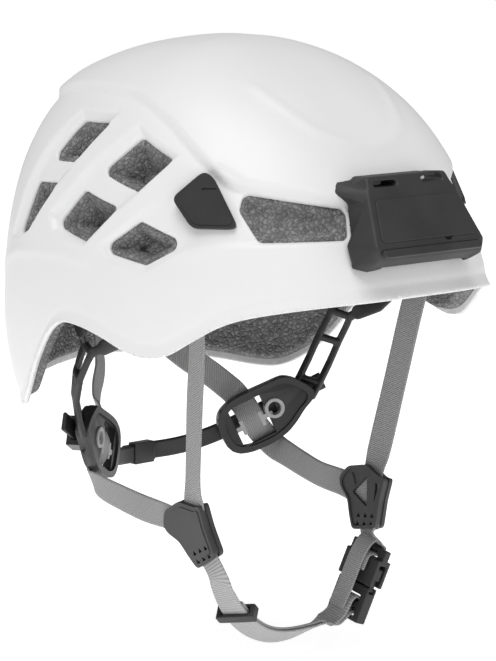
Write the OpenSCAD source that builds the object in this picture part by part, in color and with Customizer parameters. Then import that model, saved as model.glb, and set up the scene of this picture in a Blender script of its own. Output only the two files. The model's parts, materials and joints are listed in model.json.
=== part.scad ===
// Climbing helmet, in millimetres. Z is up, -Y is the brow, -X is the wearer's right.
// The origin is the centre of the head opening, level with the middle of the rim.

/* [Shell] */
// Brow profile radius at every 15 degrees of height, from -30 to 90
front_radii = [146, 139, 132, 124.5, 119, 116, 116.5, 119, 121.5];
// Side profile radius at every 15 degrees of height, from -30 to 90
side_radii = [124, 117.5, 112, 110.5, 113, 118, 121, 121.8, 121.5];
// Rear profile radius at every 15 degrees of height, from -30 to 90
rear_radii = [135, 131.5, 130.5, 133.5, 137, 137.5, 130.5, 124.5, 121.5];
// Squareness of the plan outline
plan_power = 2.25; // [2:0.05:3]
// Wall of the hard shell
shell_wall = 2.4; // [1.6:0.1:4]
// Height of the raised crown cap above the side panels
crown_step = 2.2; // [0:0.2:4]
// Outward roll of the rim lip
lip_roll = 1.3; // [0:0.1:3]

/* [Liner] */
// Foam thickness over the head
foam_thick = 20; // [12:1:30]
// Foam thickness at the rim
foam_rim = 9; // [6:0.5:14]
// Height angle where the side foam meets the crown foam
foam_split = 56; // [45:1:70]
// Clear gap between neighbouring pieces
gap = 0.3; // [0.1:0.05:0.6]

/* [Straps] */
// Webbing width
web_width = 14; // [10:0.5:20]
// Webbing thickness
web_thick = 1.3; // [0.8:0.1:2]
// Width of the nape strap
nape_width = 9.5; // [7:0.5:14]
// Thickness of the nape strap
nape_thick = 2; // [1.4:0.1:3]

/* [Lamp holders] */
// Thickness of the side lamp clips
clip_thick = 2.6; // [1.5:0.1:4]
// Radius of the clip hinge pins
clip_pin_r = 0.9; // [0.6:0.1:1.5]

/* [Buckle] */
// Buckle width across the webbing
buckle_width = 26; // [20:1:32]
// Thickness of each squeeze prong
prong_thick = 2.2; // [1.5:0.1:3]

/* [Hidden] */
columns = 72;
round_fn = 40;
pin_run = 0.06;
lower_rows = [0, 0.03, 0.11, 0.22, 0.34, 0.46, 0.58, 0.7, 0.82, 0.92, 1];
crown_rows = [0, 0.08, 0.18, 0.3, 0.43, 0.57, 0.72, 0.87];
// Rim height angle against the angle round from the brow
rim_knots = [[0, 1], [20, 0.5], [32, -0.5], [42, -2.2], [48, -4.3], [54, -7.8], [60, -11.3],
    [66, -12.6], [72, -11.8], [80, -9.3], [88, -7.6], [95, -7.4], [100, -10], [106, -16.5],
    [113, -23.5], [120, -28], [127, -30.3], [134, -30], [145, -28], [160, -26.2], [180, -25]];
// Edge of the raised crown cap against the angle round from the brow
crown_knots = [[0, 22], [16, 22.6], [28, 25.2], [41, 27.4], [47, 29.5], [53, 34.5], [66, 44.5],
    [80, 51], [92, 53.5], [110, 53], [125, 50.5], [144, 44], [160, 40.5], [180, 39]];
// Corners of the five small vents and the long brow vent, as [angle round, height angle]
vent_upper_rear = [[110, 41.5], [93.5, 44], [102, 33.5], [116.5, 31.5]];
vent_upper_mid = [[76, 40], [63, 34], [72.5, 27.5], [88, 32]];
vent_low_rear = [[121.5, 24.5], [108, 26.5], [117, 14], [125, 10.5]];
vent_low_mid = [[95, 26], [79.5, 22.5], [90, 14.5], [102.5, 17]];
vent_low_front = [[70, 19], [58, 14.5], [67, 10], [80, 12.5]];
vent_brow = [[41.5, 25.6], [17, 21.2], [18, 15.4], [38, 15.6], [42.3, 22.6]];
vents = [vent_upper_rear, vent_upper_mid, vent_low_rear, vent_low_mid, vent_low_front, vent_brow];
small_vents = [vent_upper_rear, vent_upper_mid, vent_low_rear, vent_low_mid, vent_low_front];
// Side clip seat: surface point, facing and outline
clip_al = 51;
clip_be = 24.5;
clip_face = 53;
clip_rise = 20;
clip_outline = [[-18, 1], [-3.5, 14.5], [1.5, 12], [14.5, -11.5], [12.5, -13.4], [-7.5, -13.4]];
rear_clip_be = 36;
rear_clip_rise = 33;
rear_outline = [[-12, -9], [12, -9], [10, 9], [-10, 9]];
// Adjuster plate seat on the wearer's left
plate_at = [54, 48.6, -90.2];
plate_yaw = 32;
plate_tilt = 25;
// Chin buckle seat and release hinge
buckle_at = [49.1, -37.1, -163.4];
buckle_turn = [9.75, 19.01, -0.65];

// ---- curves and surface ----
function cat(t, x, over = []) = let(i = max(0, min(len(t) - 2, floor(x))), f = x - i, b = t[i], c = t[i + 1],
    a = i > 0 ? t[i - 1] : 2 * b - c, d = i + 2 < len(t) ? t[i + 2] : len(over) > 0 ? over[i] : b)
    0.5 * (2 * b + (c - a) * f + (2 * a - 5 * b + 4 * c - d) * f * f
    + (3 * b - a - 3 * c + d) * f * f * f);
function seg(k, x, i = 0) = (i >= len(k) - 2 || x < k[i + 1][0]) ? i : seg(k, x, i + 1);
function grade(k, i) = (i <= 0 || i >= len(k) - 1) ? 0
    : (k[i + 1][1] - k[i - 1][1]) / (k[i + 1][0] - k[i - 1][0]);
function curve(k, x) = let(i = seg(k, x), h = k[i + 1][0] - k[i][0], t = (x - k[i][0]) / h)
    (2 * t * t * t - 3 * t * t + 1) * k[i][1] + (t * t * t - 2 * t * t + t) * h * grade(k, i)
    + (3 * t * t - 2 * t * t * t) * k[i + 1][1] + (t * t * t - t * t) * h * grade(k, i + 1);
function fold(al) = abs(al > 180 ? al - 360 : al);
function rim(al) = curve(rim_knots, fold(al));
function crown(al) = curve(crown_knots, fold(al));
function reach(al, be) = let(x = (be + 30) / 15, s = abs(sin(al)) / cat(side_radii, x),
    c = abs(cos(al)) / (cos(al) >= 0 ? cat(front_radii, x, rear_radii)
        : cat(rear_radii, x, front_radii)), p = 2 + (plan_power - 2) * ease((80 - be) / 50))
    pow(pow(s, p) + pow(c, p), -1 / p);
function at(al, be, off = 0) = let(r = reach(al, be) + off)
    [-r * sin(al) * cos(be), -r * cos(al) * cos(be), r * sin(be)];
function ease(x) = x <= 0 ? 0 : x >= 1 ? 1 : x * x * (3 - 2 * x);
// Foam inner face: thin at the rim, full thickness 30 degrees above it
function foam_in(al, be) = -shell_wall - gap - foam_rim
    - (foam_thick - foam_rim) * ease((be - rim(al)) / 30);
function flip(p) = [for (v = p) [-v[0], v[1], v[2]]];
function unit(v) = v / norm(v);
function mirror_vent(v) = [for (i = [len(v) - 1:-1:0]) [-v[i][0], v[i][1]]];
function mid(v) = [for (k = [0, 1]) (v[0][k] + v[1][k] + v[2][k] + v[3][k]) / 4];

// ---- solids ----
// Closed ring or dome between an outer and an inner grid of points
module skin(out, inn, cap) {
    n = len(out[0]);
    m = len(out);
    o = [for (r = out) for (p = r) p];
    i0 = len(o);
    q = concat(o, [for (r = inn) for (p = r) p], cap ? cap : []);
    top = 2 * i0;
    sides = [for (j = [0:m - 2]) for (i = [0:n - 1]) let(k = (i + 1) % n, a = j * n + i,
        b = j * n + k, c = b + n, d = a + n) each [[a, b, c], [a, c, d],
        [i0 + a, i0 + c, i0 + b], [i0 + a, i0 + d, i0 + c]]];
    foot = [for (i = [0:n - 1]) let(k = (i + 1) % n) each [[k, i, i0 + i], [k, i0 + i, i0 + k]]];
    e = (m - 1) * n;
    head = [for (i = [0:n - 1]) let(k = (i + 1) % n) each (cap
        ? [[e + i, e + k, top], [i0 + e + i, top + 1, i0 + e + k]]
        : [[e + i, e + k, i0 + e + k], [e + i, i0 + e + k, i0 + e + i]])];
    polyhedron(points = q, faces = concat(sides, foot, head));
}

// Closed slab between two open grids of points
module slab(out, inn) {
    n = len(out[0]);
    m = len(out);
    o = [for (r = out) for (p = r) p];
    i0 = len(o);
    e = (m - 1) * n;
    faces = concat(
        [for (j = [0:m - 2]) for (i = [0:n - 2]) let(a = j * n + i, b = a + 1, c = b + n,
            d = a + n) each [[a, b, c], [a, c, d], [i0 + a, i0 + c, i0 + b],
            [i0 + a, i0 + d, i0 + c]]],
        [for (i = [0:n - 2]) each [[i + 1, i, i0 + i], [i + 1, i0 + i, i0 + i + 1],
            [e + i, e + i + 1, i0 + e + i + 1], [e + i, i0 + e + i + 1, i0 + e + i]]],
        [for (j = [0:m - 2]) let(a = j * n, b = a + n, c = a + n - 1, d = c + n)
            each [[a, b, i0 + b], [a, i0 + b, i0 + a], [d, c, i0 + c], [d, i0 + c, i0 + d]]]);
    polyhedron(points = concat(o, [for (r = inn) for (p = r) p]), faces = faces);
}

// Flat strap along a path, with the face normal at each station
module strap(path, face, w, t) {
    n = len(path);
    dir = [for (i = [0:n - 1]) unit(path[min(i + 1, n - 1)] - path[max(i - 1, 0)])];
    side = [for (i = [0:n - 1]) unit(cross(dir[i], face[i]))];
    up = [for (i = [0:n - 1]) unit(cross(side[i], dir[i]))];
    q = [for (i = [0:n - 1]) each [path[i] + side[i] * w / 2 + up[i] * t / 2,
        path[i] - side[i] * w / 2 + up[i] * t / 2, path[i] - side[i] * w / 2 - up[i] * t / 2,
        path[i] + side[i] * w / 2 - up[i] * t / 2]];
    walls = [for (i = [0:n - 2]) for (k = [0:3]) let(a = 4 * i + k, b = 4 * i + (k + 1) % 4)
        each [[a, a + 4, b + 4], [a, b + 4, b]]];
    polyhedron(points = q, faces = concat(walls, [[0, 1, 2], [0, 2, 3]],
        [[4 * n - 2, 4 * n - 3, 4 * n - 4], [4 * n - 1, 4 * n - 2, 4 * n - 4]]));
}

module wrap(p) {
    hull() {
        polyhedron(points = p, faces = [for (i = [1:len(p) - 2]) [0, i, i + 1]]);
    }
}

// Cutter through the shell over a patch of it
module vent_cut(v, lo, hi) {
    wrap(concat([for (c = v) at(c[0], c[1], lo)], [for (c = v) at(c[0], c[1], hi)]));
}

function shrink(v, k) = let(m = mid(v)) [for (c = v) [m[0] + (c[0] - m[0]) * k,
    m[1] + (c[1] - m[1]) * k]];

// Seat on the shell: local Z points out, Y up, X towards the brow on the right side
module seat(al, be, off, turn, rise) {
    translate(at(al, be, off))
        rotate([0, 0, -turn])
            rotate([90 - rise, 0, 0])
                children();
}

module both_sides() {
    children();
    mirror([1, 0, 0])
        children();
}

module clip_seat() {
    seat(clip_al, clip_be, 0, clip_face, clip_rise)
        children();
}

module rear_seat() {
    seat(180, rear_clip_be, 0, 180, rear_clip_rise)
        children();
}

module prism(outline, grow, lo, hi) {
    translate([0, 0, lo])
        linear_extrude(hi - lo)
            polygon([for (p = outline) p * grow]);
}

module clip_pocket() {
    hull() {
        prism(clip_outline, 1.06, -8.5, 9);
    }
}

module rear_pocket() {
    hull() {
        prism(rear_outline, 1.08, -8.5, 9);
    }
}

function shell_row(al, j, off) = j < len(lower_rows)
    ? let(e = crown(al) - 1.6, be = rim(al) + (e - rim(al)) * lower_rows[j])
        at(al, be, off - crown_step / 2 + (j == 0 ? lip_roll : 0))
    : let(e = crown(al) + 2, be = e + (90 - e) * crown_rows[j - len(lower_rows)])
        at(al, be, off + crown_step / 2);
function around(f, n = columns) = [for (i = [0:n - 1]) f(360 * i / n)];

// Dome between two offsets of the shell's outer face
module shell_skin(hi, lo) {
    rows = len(lower_rows) + len(crown_rows);
    top = reach(0, 90) + crown_step / 2;
    skin([for (j = [0:rows - 1]) around(function(al) shell_row(al, j, hi))],
        [for (j = [0:rows - 1]) around(function(al) shell_row(al, j, lo))],
        [[0, 0, top + hi], [0, 0, top + lo]]);
}

module outer_shell() {
    color("white")
        difference() {
            shell_skin(0, -shell_wall);
            for (v = vents) {
                vent_cut(v, -14, 12);
                vent_cut(mirror_vent(v), -14, 12);
            }
            both_sides()
                clip_seat()
                    clip_pocket();
            rear_seat()
                rear_pocket();
        }
}

function foam_out(al) = -shell_wall - 2 * gap - crown_step / 2;

module foam_liner() {
    steps = [0, 0.08, 0.2, 0.34, 0.5, 0.66, 0.83, 1];
    color("dimgray")
        difference() {
            skin([for (s = steps) around(function(al) let(b = rim(al) + 1.2,
                    be = b + (foam_split - b) * s) at(al, be, foam_out(al)))],
                [for (s = steps) around(function(al) let(b = rim(al) + 1.2,
                    be = b + (foam_split - b) * s) at(al, be, foam_in(al, be)))], false);
            for (v = small_vents) {
                vent_cut(shrink(v, 0.5), -40, 12);
                vent_cut(mirror_vent(shrink(v, 0.5)), -40, 12);
            }
            both_sides()
                clip_seat()
                    clip_pocket();
            rear_seat()
                rear_pocket();
            both_sides()
                for (p = [arm_front, arm_rear])
                    translate(p)
                        rotate([0, 90, 0])
                            cylinder(r = 2.8, h = 13, $fn = round_fn);
            // pockets for the front strap anchors, open at the rim
            both_sides()
                translate(anchor_front_at)
                    rotate(anchor_front_turn)
                        translate([-3.8, -10.4, -45])
                            cube([7, 20.8, 52.4]);
        }
}

module crown_liner() {
    lo = foam_split + 0.3;
    steps = [0, 0.25, 0.5, 0.75];
    top = reach(0, 90);
    color("gray")
        skin([for (s = steps) around(function(al) at(al, lo + (90 - lo) * s,
                foam_out(al) + crown_step))],
            [for (s = steps) around(function(al) at(al, lo + (90 - lo) * s, foam_in(al, 80)))],
            [[0, 0, top + foam_out(0) + crown_step], [0, 0, top + foam_in(0, 80)]]);
}

module forehead_pad() {
    cols = [for (i = [0:12]) -48 + 8 * i];
    color("dimgray")
        slab([for (be = [6, 10, 14, 18]) [for (al = cols) at(al, be, foam_in(al, be) - 2 * gap)]],
            [for (be = [6, 10, 14, 18]) [for (al = cols) at(al, be, foam_in(al, be) - 2 * gap
                - (be < 8 || be > 16 ? 3 : 5))]]);
}

module crown_pad() {
    cols = [for (i = [0:8]) -40 + 10 * i];
    color("dimgray")
        slab([for (y = [-30, -15, 0, 15, 30]) [for (x = [24, 12, 0, -12, -24])
                [x, y, 94.6 - (x * x + y * y) / 230]]],
            [for (y = [-30, -15, 0, 15, 30]) [for (x = [24, 12, 0, -12, -24])
                [x, y, 89.6 - (x * x + y * y) / 230]]]);
}

// Flat lamp mount over the brow, standing off the shell on two side feet
module lamp_plate() {
    face_hi = [29.2, -120.3, 54];
    face_lo = [37, -134.4, 28];
    color("darkslategray")
        difference() {
            union() {
                wrap([[29.2, -120.3, 54], [-29.2, -120.3, 54], face_lo, [-37, -134.4, 28],
                    [27, -116.6, 60.6], [-27, -116.6, 60.6], [30, -106, 54], [-30, -106, 54],
                    [24, -104, 60], [-24, -104, 60], [37, -112, 27], [-37, -112, 27]]);
                wrap([face_lo, [-37, -134.4, 28], [37, -133.2, 22], [-37, -133.2, 22],
                    [33, -130, 18.5], [-33, -130, 18.5], [33, -114, 18], [-33, -114, 18],
                    [36, -110, 29], [-36, -110, 29]]);
                both_sides()
                    wrap([[-37, -134, 28], [-37, -133, 21], [-30, -131, 18], at(15, 7, 0),
                        at(18.5, 8, 0), at(19, 13, 0), [-30, -121, 53], [-28, -113, 34]]);
                both_sides()
                    wrap([[-29.5, -120.3, 54], [-31, -122, 49], at(15.5, 22, 0), at(20.5, 26, 0),
                        at(19, 29, 0), at(9, 30, 0), [-24, -110, 45]]);
            }
            shell_skin(0.3, -40);
            // two lamp slots under the top edge
            wrap([for (x = [-24, -8]) for (y = [-150, -100]) for (z = [55.5, 58.2]) [x, y, z]]);
            wrap([for (x = [9, 24]) for (y = [-150, -100]) for (z = [56, 58.8]) [x, y, z]]);
            wrap([for (x = [20, 24]) for (y = [-150, -100]) for (z = [58.5, 66]) [x, y, z]]);
            // catch notch on the ledge
            wrap([for (x = [11, 16]) for (y = [-150, -131]) for (z = [29, 31.5]) [x, y, z]]);
        }
}

// ---- lamp clips ----
// Hinge line of a side clip, along its upper rear edge
side_hinge_a = [-15.9, -0.7];
side_hinge_b = [-4.3, 10.1];
rear_hinge_a = [-7.5, 6];
rear_hinge_b = [7.5, 6];
hinge_z = -2.4;

module along(a, b, z) {
    d = b - a;
    translate([a[0], a[1], z])
        rotate([0, 0, atan2(d[1], d[0])])
            rotate([0, 90, 0])
                children();
}

module clip_body(outline, a, b) {
    len_ab = norm(b - a);
    difference() {
        union() {
            prism(outline, 1, 1, 1 + clip_thick);
            along(a + (b - a) * 0.28, b, hinge_z)
                cylinder(r = 1.9, h = len_ab * 0.44, $fn = round_fn);
            translate([a[0], a[1], 0])
                rotate([0, 0, atan2(b[1] - a[1], b[0] - a[0])])
                    translate([len_ab * 0.28, -1.1, hinge_z])
                        cube([len_ab * 0.44, 2.2, 3.6]);
        }
        along(a, b, hinge_z)
            translate([0, 0, -5])
                cylinder(r = clip_pin_r + pin_run, h = len_ab + 10, $fn = round_fn);
    }
}

module clip_base(outline, a, b) {
    len_ab = norm(b - a);
    prism(outline, 0.96, -7.6, -6.2);
    along(a, b, hinge_z)
        cylinder(r = clip_pin_r, h = len_ab, $fn = round_fn);
    for (s = [0, 0.82])
        translate([a[0], a[1], 0])
            rotate([0, 0, atan2(b[1] - a[1], b[0] - a[0])])
                translate([len_ab * s, -1.4, -6.4])
                    cube([len_ab * 0.18, 2.8, 5.4]);
}

module lamp_clip_right() {
    color("black")
        clip_seat() {
            clip_body(clip_outline, side_hinge_a, side_hinge_b);
            // catch nub on the free edge
            translate([2, -13.6, 1.2])
                cube([3, 1.4, 2]);
        }
}

module lamp_clip_left() {
    mirror([1, 0, 0])
        lamp_clip_right();
}

module lamp_clip_base_right() {
    color("black")
        clip_seat()
            clip_base(clip_outline, side_hinge_a, side_hinge_b);
}

module lamp_clip_base_left() {
    mirror([1, 0, 0])
        lamp_clip_base_right();
}

module rear_clip() {
    color("black")
        rear_seat()
            clip_body(rear_outline, rear_hinge_a, rear_hinge_b);
}

module rear_clip_base() {
    color("black")
        rear_seat()
            clip_base(rear_outline, rear_hinge_a, rear_hinge_b);
}

// ---- straps on the wearer's left, mirrored for the right ----
function seat_point(x, y, z) = let(u = x * cos(plate_tilt) - y * sin(plate_tilt),
    v = x * sin(plate_tilt) + y * cos(plate_tilt))
    plate_at + [u * cos(plate_yaw) - z * sin(plate_yaw),
        -u * sin(plate_yaw) - z * cos(plate_yaw), v];
divider_at = [60.9, -31, -121];
divider_lean = 10;
function divider_point(x, y) = divider_at + [y * sin(divider_lean), -x, y * cos(divider_lean)];
divider_face = [cos(divider_lean), 0, -sin(divider_lean)];
front_path = [[84, -53, 18], [81, -52, 4], [75.5, -49.5, -17], [70.5, -42, -58],
    [65.4, -35, -97], divider_point(2.8, 16), divider_point(1.6, 4)];
front_face = concat([for (i = [0:4]) [1, 0.16, 0]], [divider_face, divider_face]);
rear_path = concat([divider_point(-8.5, 2.6), divider_point(-18, 4.6), [62.6, 6, -114.6],
    [64.2, 22, -111.4], [65.6, 36, -108]], [for (p = [[4.6, -19, -1.7], [3.2, -15.6, -3.6],
    [2, -12, -3.7], [0.8, -8, -2.3], [-0.2, -4, -0.2], [-0.8, 0, 0.7], [-1.2, 4, 0.6],
    [-1.4, 8, -1.1], [-1.8, 11.6, -3.3], [-2.6, 15, -3.8], [-3.6, 19, -3.7]])
    seat_point(p[0], p[1], p[2])], [[45.5, 63.5, -71.2], [40, 70.5, -64.5], [31, 78.5, -56.3],
    [24, 87, -48],
    [19.4, 94.6, -42.4], [15.8, 100.8, -37.7], [14.4, 104.5, -30.8], [13.7, 106.4, -27.3]]);
// Turn of the rear webbing's face from the side towards the rear, against Y
rear_turn = [[0, 3], [22, 21.8], [36, 36], [43, 58], [62, 60], [107, 82], [120, 84]];
rear_anchor_face = [0.1245, 0.8855, -0.4478];
function rear_face(p) = p[1] < -5 ? divider_face
    : p[1] > 99 ? rear_anchor_face
    : let(a = curve(rear_turn, max(0, p[1]))) [cos(a), sin(a), 0];

module front_webbing_left() {
    color("gray")
        strap(front_path, front_face, web_width, web_thick);
}

module front_webbing_right() {
    mirror([1, 0, 0])
        front_webbing_left();
}

module rear_webbing_left() {
    color("gray")
        strap(rear_path, [for (p = rear_path) rear_face(p)], web_width, web_thick);
}

module rear_webbing_right() {
    mirror([1, 0, 0])
        rear_webbing_left();
}

// Seats of the front and rear strap anchors
anchor_front_at = [83, -52.7, 13.5];
anchor_front_turn = [0, 12, 9];

// Small block holding the sewn end of a strap against the foam
module anchor_block() {
    difference() {
        translate([-3.4, -10, -7])
            cube([6.2, 20, 14]);
        translate([-1.5, -web_width / 2 - 0.9, -8])
            cube([3, web_width + 1.8, 16]);
    }
}

module strap_anchor_front_left() {
    color("black")
        translate(anchor_front_at)
            rotate(anchor_front_turn)
                anchor_block();
}

module strap_anchor_front_right() {
    mirror([1, 0, 0])
        strap_anchor_front_left();
}

module strap_anchor_rear_left() {
    color("black")
        translate([14.4, 104.5, -30.8])
            rotate([-13.7, 26.6, 82])
                anchor_block();
}

module strap_anchor_rear_right() {
    mirror([1, 0, 0])
        strap_anchor_rear_left();
}

// ---- headband ----
arm_front = [91, -25, -9];
arm_rear = [91, 24, -6.5];
stem_path = [[77.4, 36, -76.2], [81.5, 34.5, -69], [86, 31.5, -58], [88.2, 26.5, -46],
    [88.8, 20.5, -36], [88.6, 17.5, -31]];
front_branch = [[88.4, 17, -31.5], [89, 5, -29], [90.5, -9, -23.5], [92.2, -24, -10.5],
    [92.3, -28, -6.5]];
rear_branch = [[88.4, 18, -32], [90, 21, -22], [92, 23.6, -11], [92, 24, -7]];

// Bar of the arm between two stations, thin along X and wide along the arm
module bar(a, b, w = 4, t = 1.8) {
    hull()
        for (p = [a, b])
            translate(p)
                rotate([0, 90, 0])
                    cylinder(r = w / 2, h = t, center = true, $fn = 16);
}

// Offsets a station across the arm, along the head
function across(p, k) = let(n = unit([1, p[1] / 45, 0])) p + k * [-n[1], n[0], 0.25];

module headband_arm_left() {
    n = len(stem_path);
    color("black")
        difference() {
            union() {
                for (s = [-5.6, 5.6])
                    for (i = [0:n - 2])
                        bar(across(stem_path[i], s), across(stem_path[i + 1], s));
                for (i = [0, 1, 3, n - 1])
                    bar(across(stem_path[i], -5.6), across(stem_path[i], 5.6));
                bar(across(stem_path[n - 1], -5.6), front_branch[1], 5);
                for (i = [1:len(front_branch) - 2])
                    bar(front_branch[i], front_branch[i + 1], 8);
                bar(across(stem_path[n - 1], 5.6), rear_branch[1], 5);
                for (i = [1:len(rear_branch) - 2])
                    bar(rear_branch[i], rear_branch[i + 1], 8);
            }
            for (p = [arm_front, arm_rear])
                translate([p[0] - 5, p[1], p[2]])
                    rotate([0, 90, 0])
                        cylinder(r = 2.4, h = 12, $fn = round_fn);
        }
}

module headband_arm_right() {
    mirror([1, 0, 0])
        headband_arm_left();
}

// Push-in plug holding an arm end in the foam
module arm_plug(p, face) {
    color("black")
        translate([face, p[1], p[2]])
            rotate([0, 90, 0]) {
                cylinder(r = 2.1, h = 11.5, $fn = round_fn);
                translate([0, 0, -1.6])
                    cylinder(r = 4, h = 1.6, $fn = round_fn);
            }
}

module arm_pin_front_left() {
    arm_plug(arm_front, 90.5);
}

module arm_pin_rear_left() {
    arm_plug(arm_rear, 90.5);
}

module arm_pin_front_right() {
    mirror([1, 0, 0])
        arm_pin_front_left();
}

module arm_pin_rear_right() {
    mirror([1, 0, 0])
        arm_pin_rear_left();
}

module plate_seat() {
    translate(plate_at)
        rotate([0, 0, -plate_yaw])
            rotate([90, 0, 0])
                rotate([0, 0, plate_tilt])
                    children();
}

plate_outline = [[-20, -6], [-18.5, -9.5], [-15, -12.6], [-8, -14.6], [4, -15.2], [14, -13.4],
    [21, -10], [27, -6], [34, -3], [36.5, 1], [34, 6], [29, 12.5], [24, 16], [0, 17], [-8, 16.6],
    [-15.5, 14], [-19, 10], [-20.5, 4]];
band_y = 1.7;
band_z = -7.6;

// Adjuster plate: local Z faces the head, X along the nape strap
module adjuster_plate_left() {
    color("black")
        plate_seat() {
            difference() {
                translate([0, 0, -1.9])
                    linear_extrude(3.8)
                        polygon(plate_outline);
                translate([-11.5, -10.6, -3])
                    cube([19.5, 23, 6]);
                translate([12.5, 2, -3])
                    cylinder(r = 4.4, h = 6, $fn = round_fn);
            }
            // guide bridge over the nape strap
            difference() {
                translate([14, band_y - nape_width / 2 - 3, -11.4])
                    cube([12, nape_width + 6, 9.6]);
                translate([13, band_y - nape_width / 2 - gap, band_z - nape_thick / 2 - gap])
                    cube([14, nape_width + 2 * gap, nape_thick + 2 * gap]);
                translate([15.7, band_y - 3.3, -12])
                    cube([8.6, 6.6, 4]);
            }
        }
}

module adjuster_plate_right() {
    mirror([1, 0, 0])
        adjuster_plate_left();
}

module adjuster_button_left() {
    color("dimgray")
        plate_seat()
            translate([16, band_y - 3, -12.4])
                cube([8, 6, 2.2]);
}

module adjuster_button_right() {
    mirror([1, 0, 0])
        adjuster_button_left();
}

// Nape strap half: straight toothed end through the plate, then round the nape
strap_out = seat_point(0, 0, -1) - seat_point(0, 0, 0);
nape_start = [for (x = [44, 30, 15, 0, -12]) seat_point(x, band_y, band_z)];
nape_path = concat(nape_start, [[43.6, 64.1, -96.2], [36, 69, -99.6], [28, 73.9, -102.4],
    [21, 77.8, -104], [14, 80.8, -104.8], [7, 82.3, -105], [-12, 82.4, -105]]);
nape_face = concat([for (p = nape_start) strap_out], [[0.53, 0.85, 0], [0.5, 0.86, 0],
    [0.45, 0.9, 0], [0.4, 0.92, 0], [0.25, 0.97, 0], [0.05, 1, 0], [0, 1, 0]]);
nape_path_right = concat(nape_start, [[43.6, 64.1, -96.2], [36, 68.9, -99.6],
    [28, 73.2, -102.4], [21, 76.4, -104], [14, 78.9, -104.8], [7, 79.8, -105],
    [-8, 79.8, -105]]);

module nape_strap_left() {
    color("black")
        strap(nape_path, nape_face, nape_width, nape_thick);
}

module nape_strap_right() {
    color("black")
        mirror([1, 0, 0])
            strap(nape_path_right, nape_face, nape_width, nape_thick);
}

module nape_sleeve() {
    inner = nape_width + 2 * gap;
    color("black")
        difference() {
            translate([-8, 77.3, -105 - inner / 2 - 1.2])
                cube([16, 7.6, inner + 2.4]);
            translate([-9, 78.5, -105 - inner / 2])
                cube([18, 5.2, inner]);
        }
}

// ---- strap dividers ----
divider_outline = [[-6.3, 16], [6, 14.8], [9.5, 16.4], [14, 4], [20, -9.3], [2, -18.8],
    [-3.2, -13.5], [-9.5, -6], [-18, -2.5], [-20.3, 1], [-17.7, 9]];
// The left divider hangs turned a little in its own plane
divider_spin = -20;

// Local X towards the brow, Y up, Z outwards, on the wearer's left
module divider_seat() {
    translate(divider_at)
        rotate([0, divider_lean, 0])
            rotate([90, 0, 0])
                rotate([0, -90, 0])
                    mirror([0, 0, 1])
                        children();
}

module divider_half(lo, hi) {
    difference() {
        translate([0, 0, lo])
            linear_extrude(hi - lo)
                polygon(divider_outline);
        for (i = [0:2])
            for (j = [0, 1])
                translate([3.5 + i * 4.4 - j * 1.6, -14.4 + i * 2.2 + j * 4.2, -6])
                    cylinder(r = 1.35, h = 12, $fn = 3);
    }
}

module divider_body(spin) {
    color("darkslategray")
        divider_seat()
            rotate([0, 0, spin])
                divider_half(1.15, 4);
}

module divider_left() {
    divider_body(divider_spin);
}

module divider_right() {
    mirror([1, 0, 0])
        divider_body(0);
}

module divider_cover(spin) {
    color("darkslategray")
        divider_seat()
            rotate([0, 0, spin])
            difference() {
                divider_half(-3.6, -1.15);
                translate([0, 0, -6])
                    linear_extrude(12)
                        polygon([[-2, 9], [7, -8], [-9, -3]]);
                translate([0, 0, -6])
                    linear_extrude(12)
                        polygon([[2, 11.5], [7, 10.5], [11, -1]]);
            }
}

module divider_cover_left() {
    divider_cover(divider_spin);
}

module divider_cover_right() {
    mirror([1, 0, 0])
        divider_cover(0);
}

// ---- buckle on the wearer's left ----
// Local Z up along the strap, Y along the width, X away from the release hinge
module buckle_seat() {
    translate(buckle_at)
        rotate(buckle_turn)
            children();
}

function buckle_point(x, y, z) = let(c = cos(buckle_turn[0]), s = sin(buckle_turn[0]),
    d = cos(buckle_turn[1]), e = sin(buckle_turn[1]), y1 = y * c - z * s, z1 = y * s + z * c,
    x2 = x * d + z1 * e, z2 = z1 * d - x * e, g = cos(buckle_turn[2]), h = sin(buckle_turn[2]))
    buckle_at + [x2 * g - y1 * h, x2 * h + y1 * g, z2];

module buckle_socket() {
    hw = buckle_width / 2;
    color("darkslategray")
        buckle_seat()
            difference() {
                union() {
                    translate([-4.3, -hw, 0.4])
                        cube([9.2, buckle_width, 14.6]);
                    translate([-1.8, -hw, 14])
                        cube([4.2, buckle_width, 6.6]);
                }
                translate([-2, -hw - 1, -1])
                    cube([4.7, buckle_width + 2, 13.4]);
                translate([-2, -hw + 3, 12])
                    cube([4.7, buckle_width - 6, 2.6]);
                translate([-5, -web_width / 2 - 0.8, 14.9])
                    cube([10.5, web_width + 1.6, 3.7]);
            }
}

module buckle_plug() {
    hw = buckle_width / 2;
    color("darkslategray")
        buckle_seat() {
            // centre tongue
            translate([-1.6, -3.4, -3])
                cube([3.2, 6.8, 13]);
            difference() {
                translate([-3.2, -hw + 1, -20.2])
                    cube([6.4, buckle_width - 2, 19.6]);
                // prong pockets
                for (s = [-1, 1])
                    translate([-2, s * 9.6 - 2.7, -3.6])
                        cube([4, 5.4, 4]);
                // ladder slots for the webbing
                translate([-5, -web_width / 2 - 0.8, -10])
                    cube([10, web_width + 1.6, 4.2]);
                translate([-5, -web_width / 2 - 0.8, -18.2])
                    cube([10, web_width + 1.6, 4.8]);
            }
            // prong pins
            for (s = [-1, 1])
                translate([-2.2, s * 9.6, -1.9])
                    rotate([0, 90, 0])
                        cylinder(r = 0.7, h = 4.4, $fn = round_fn);
        }
}

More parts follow.
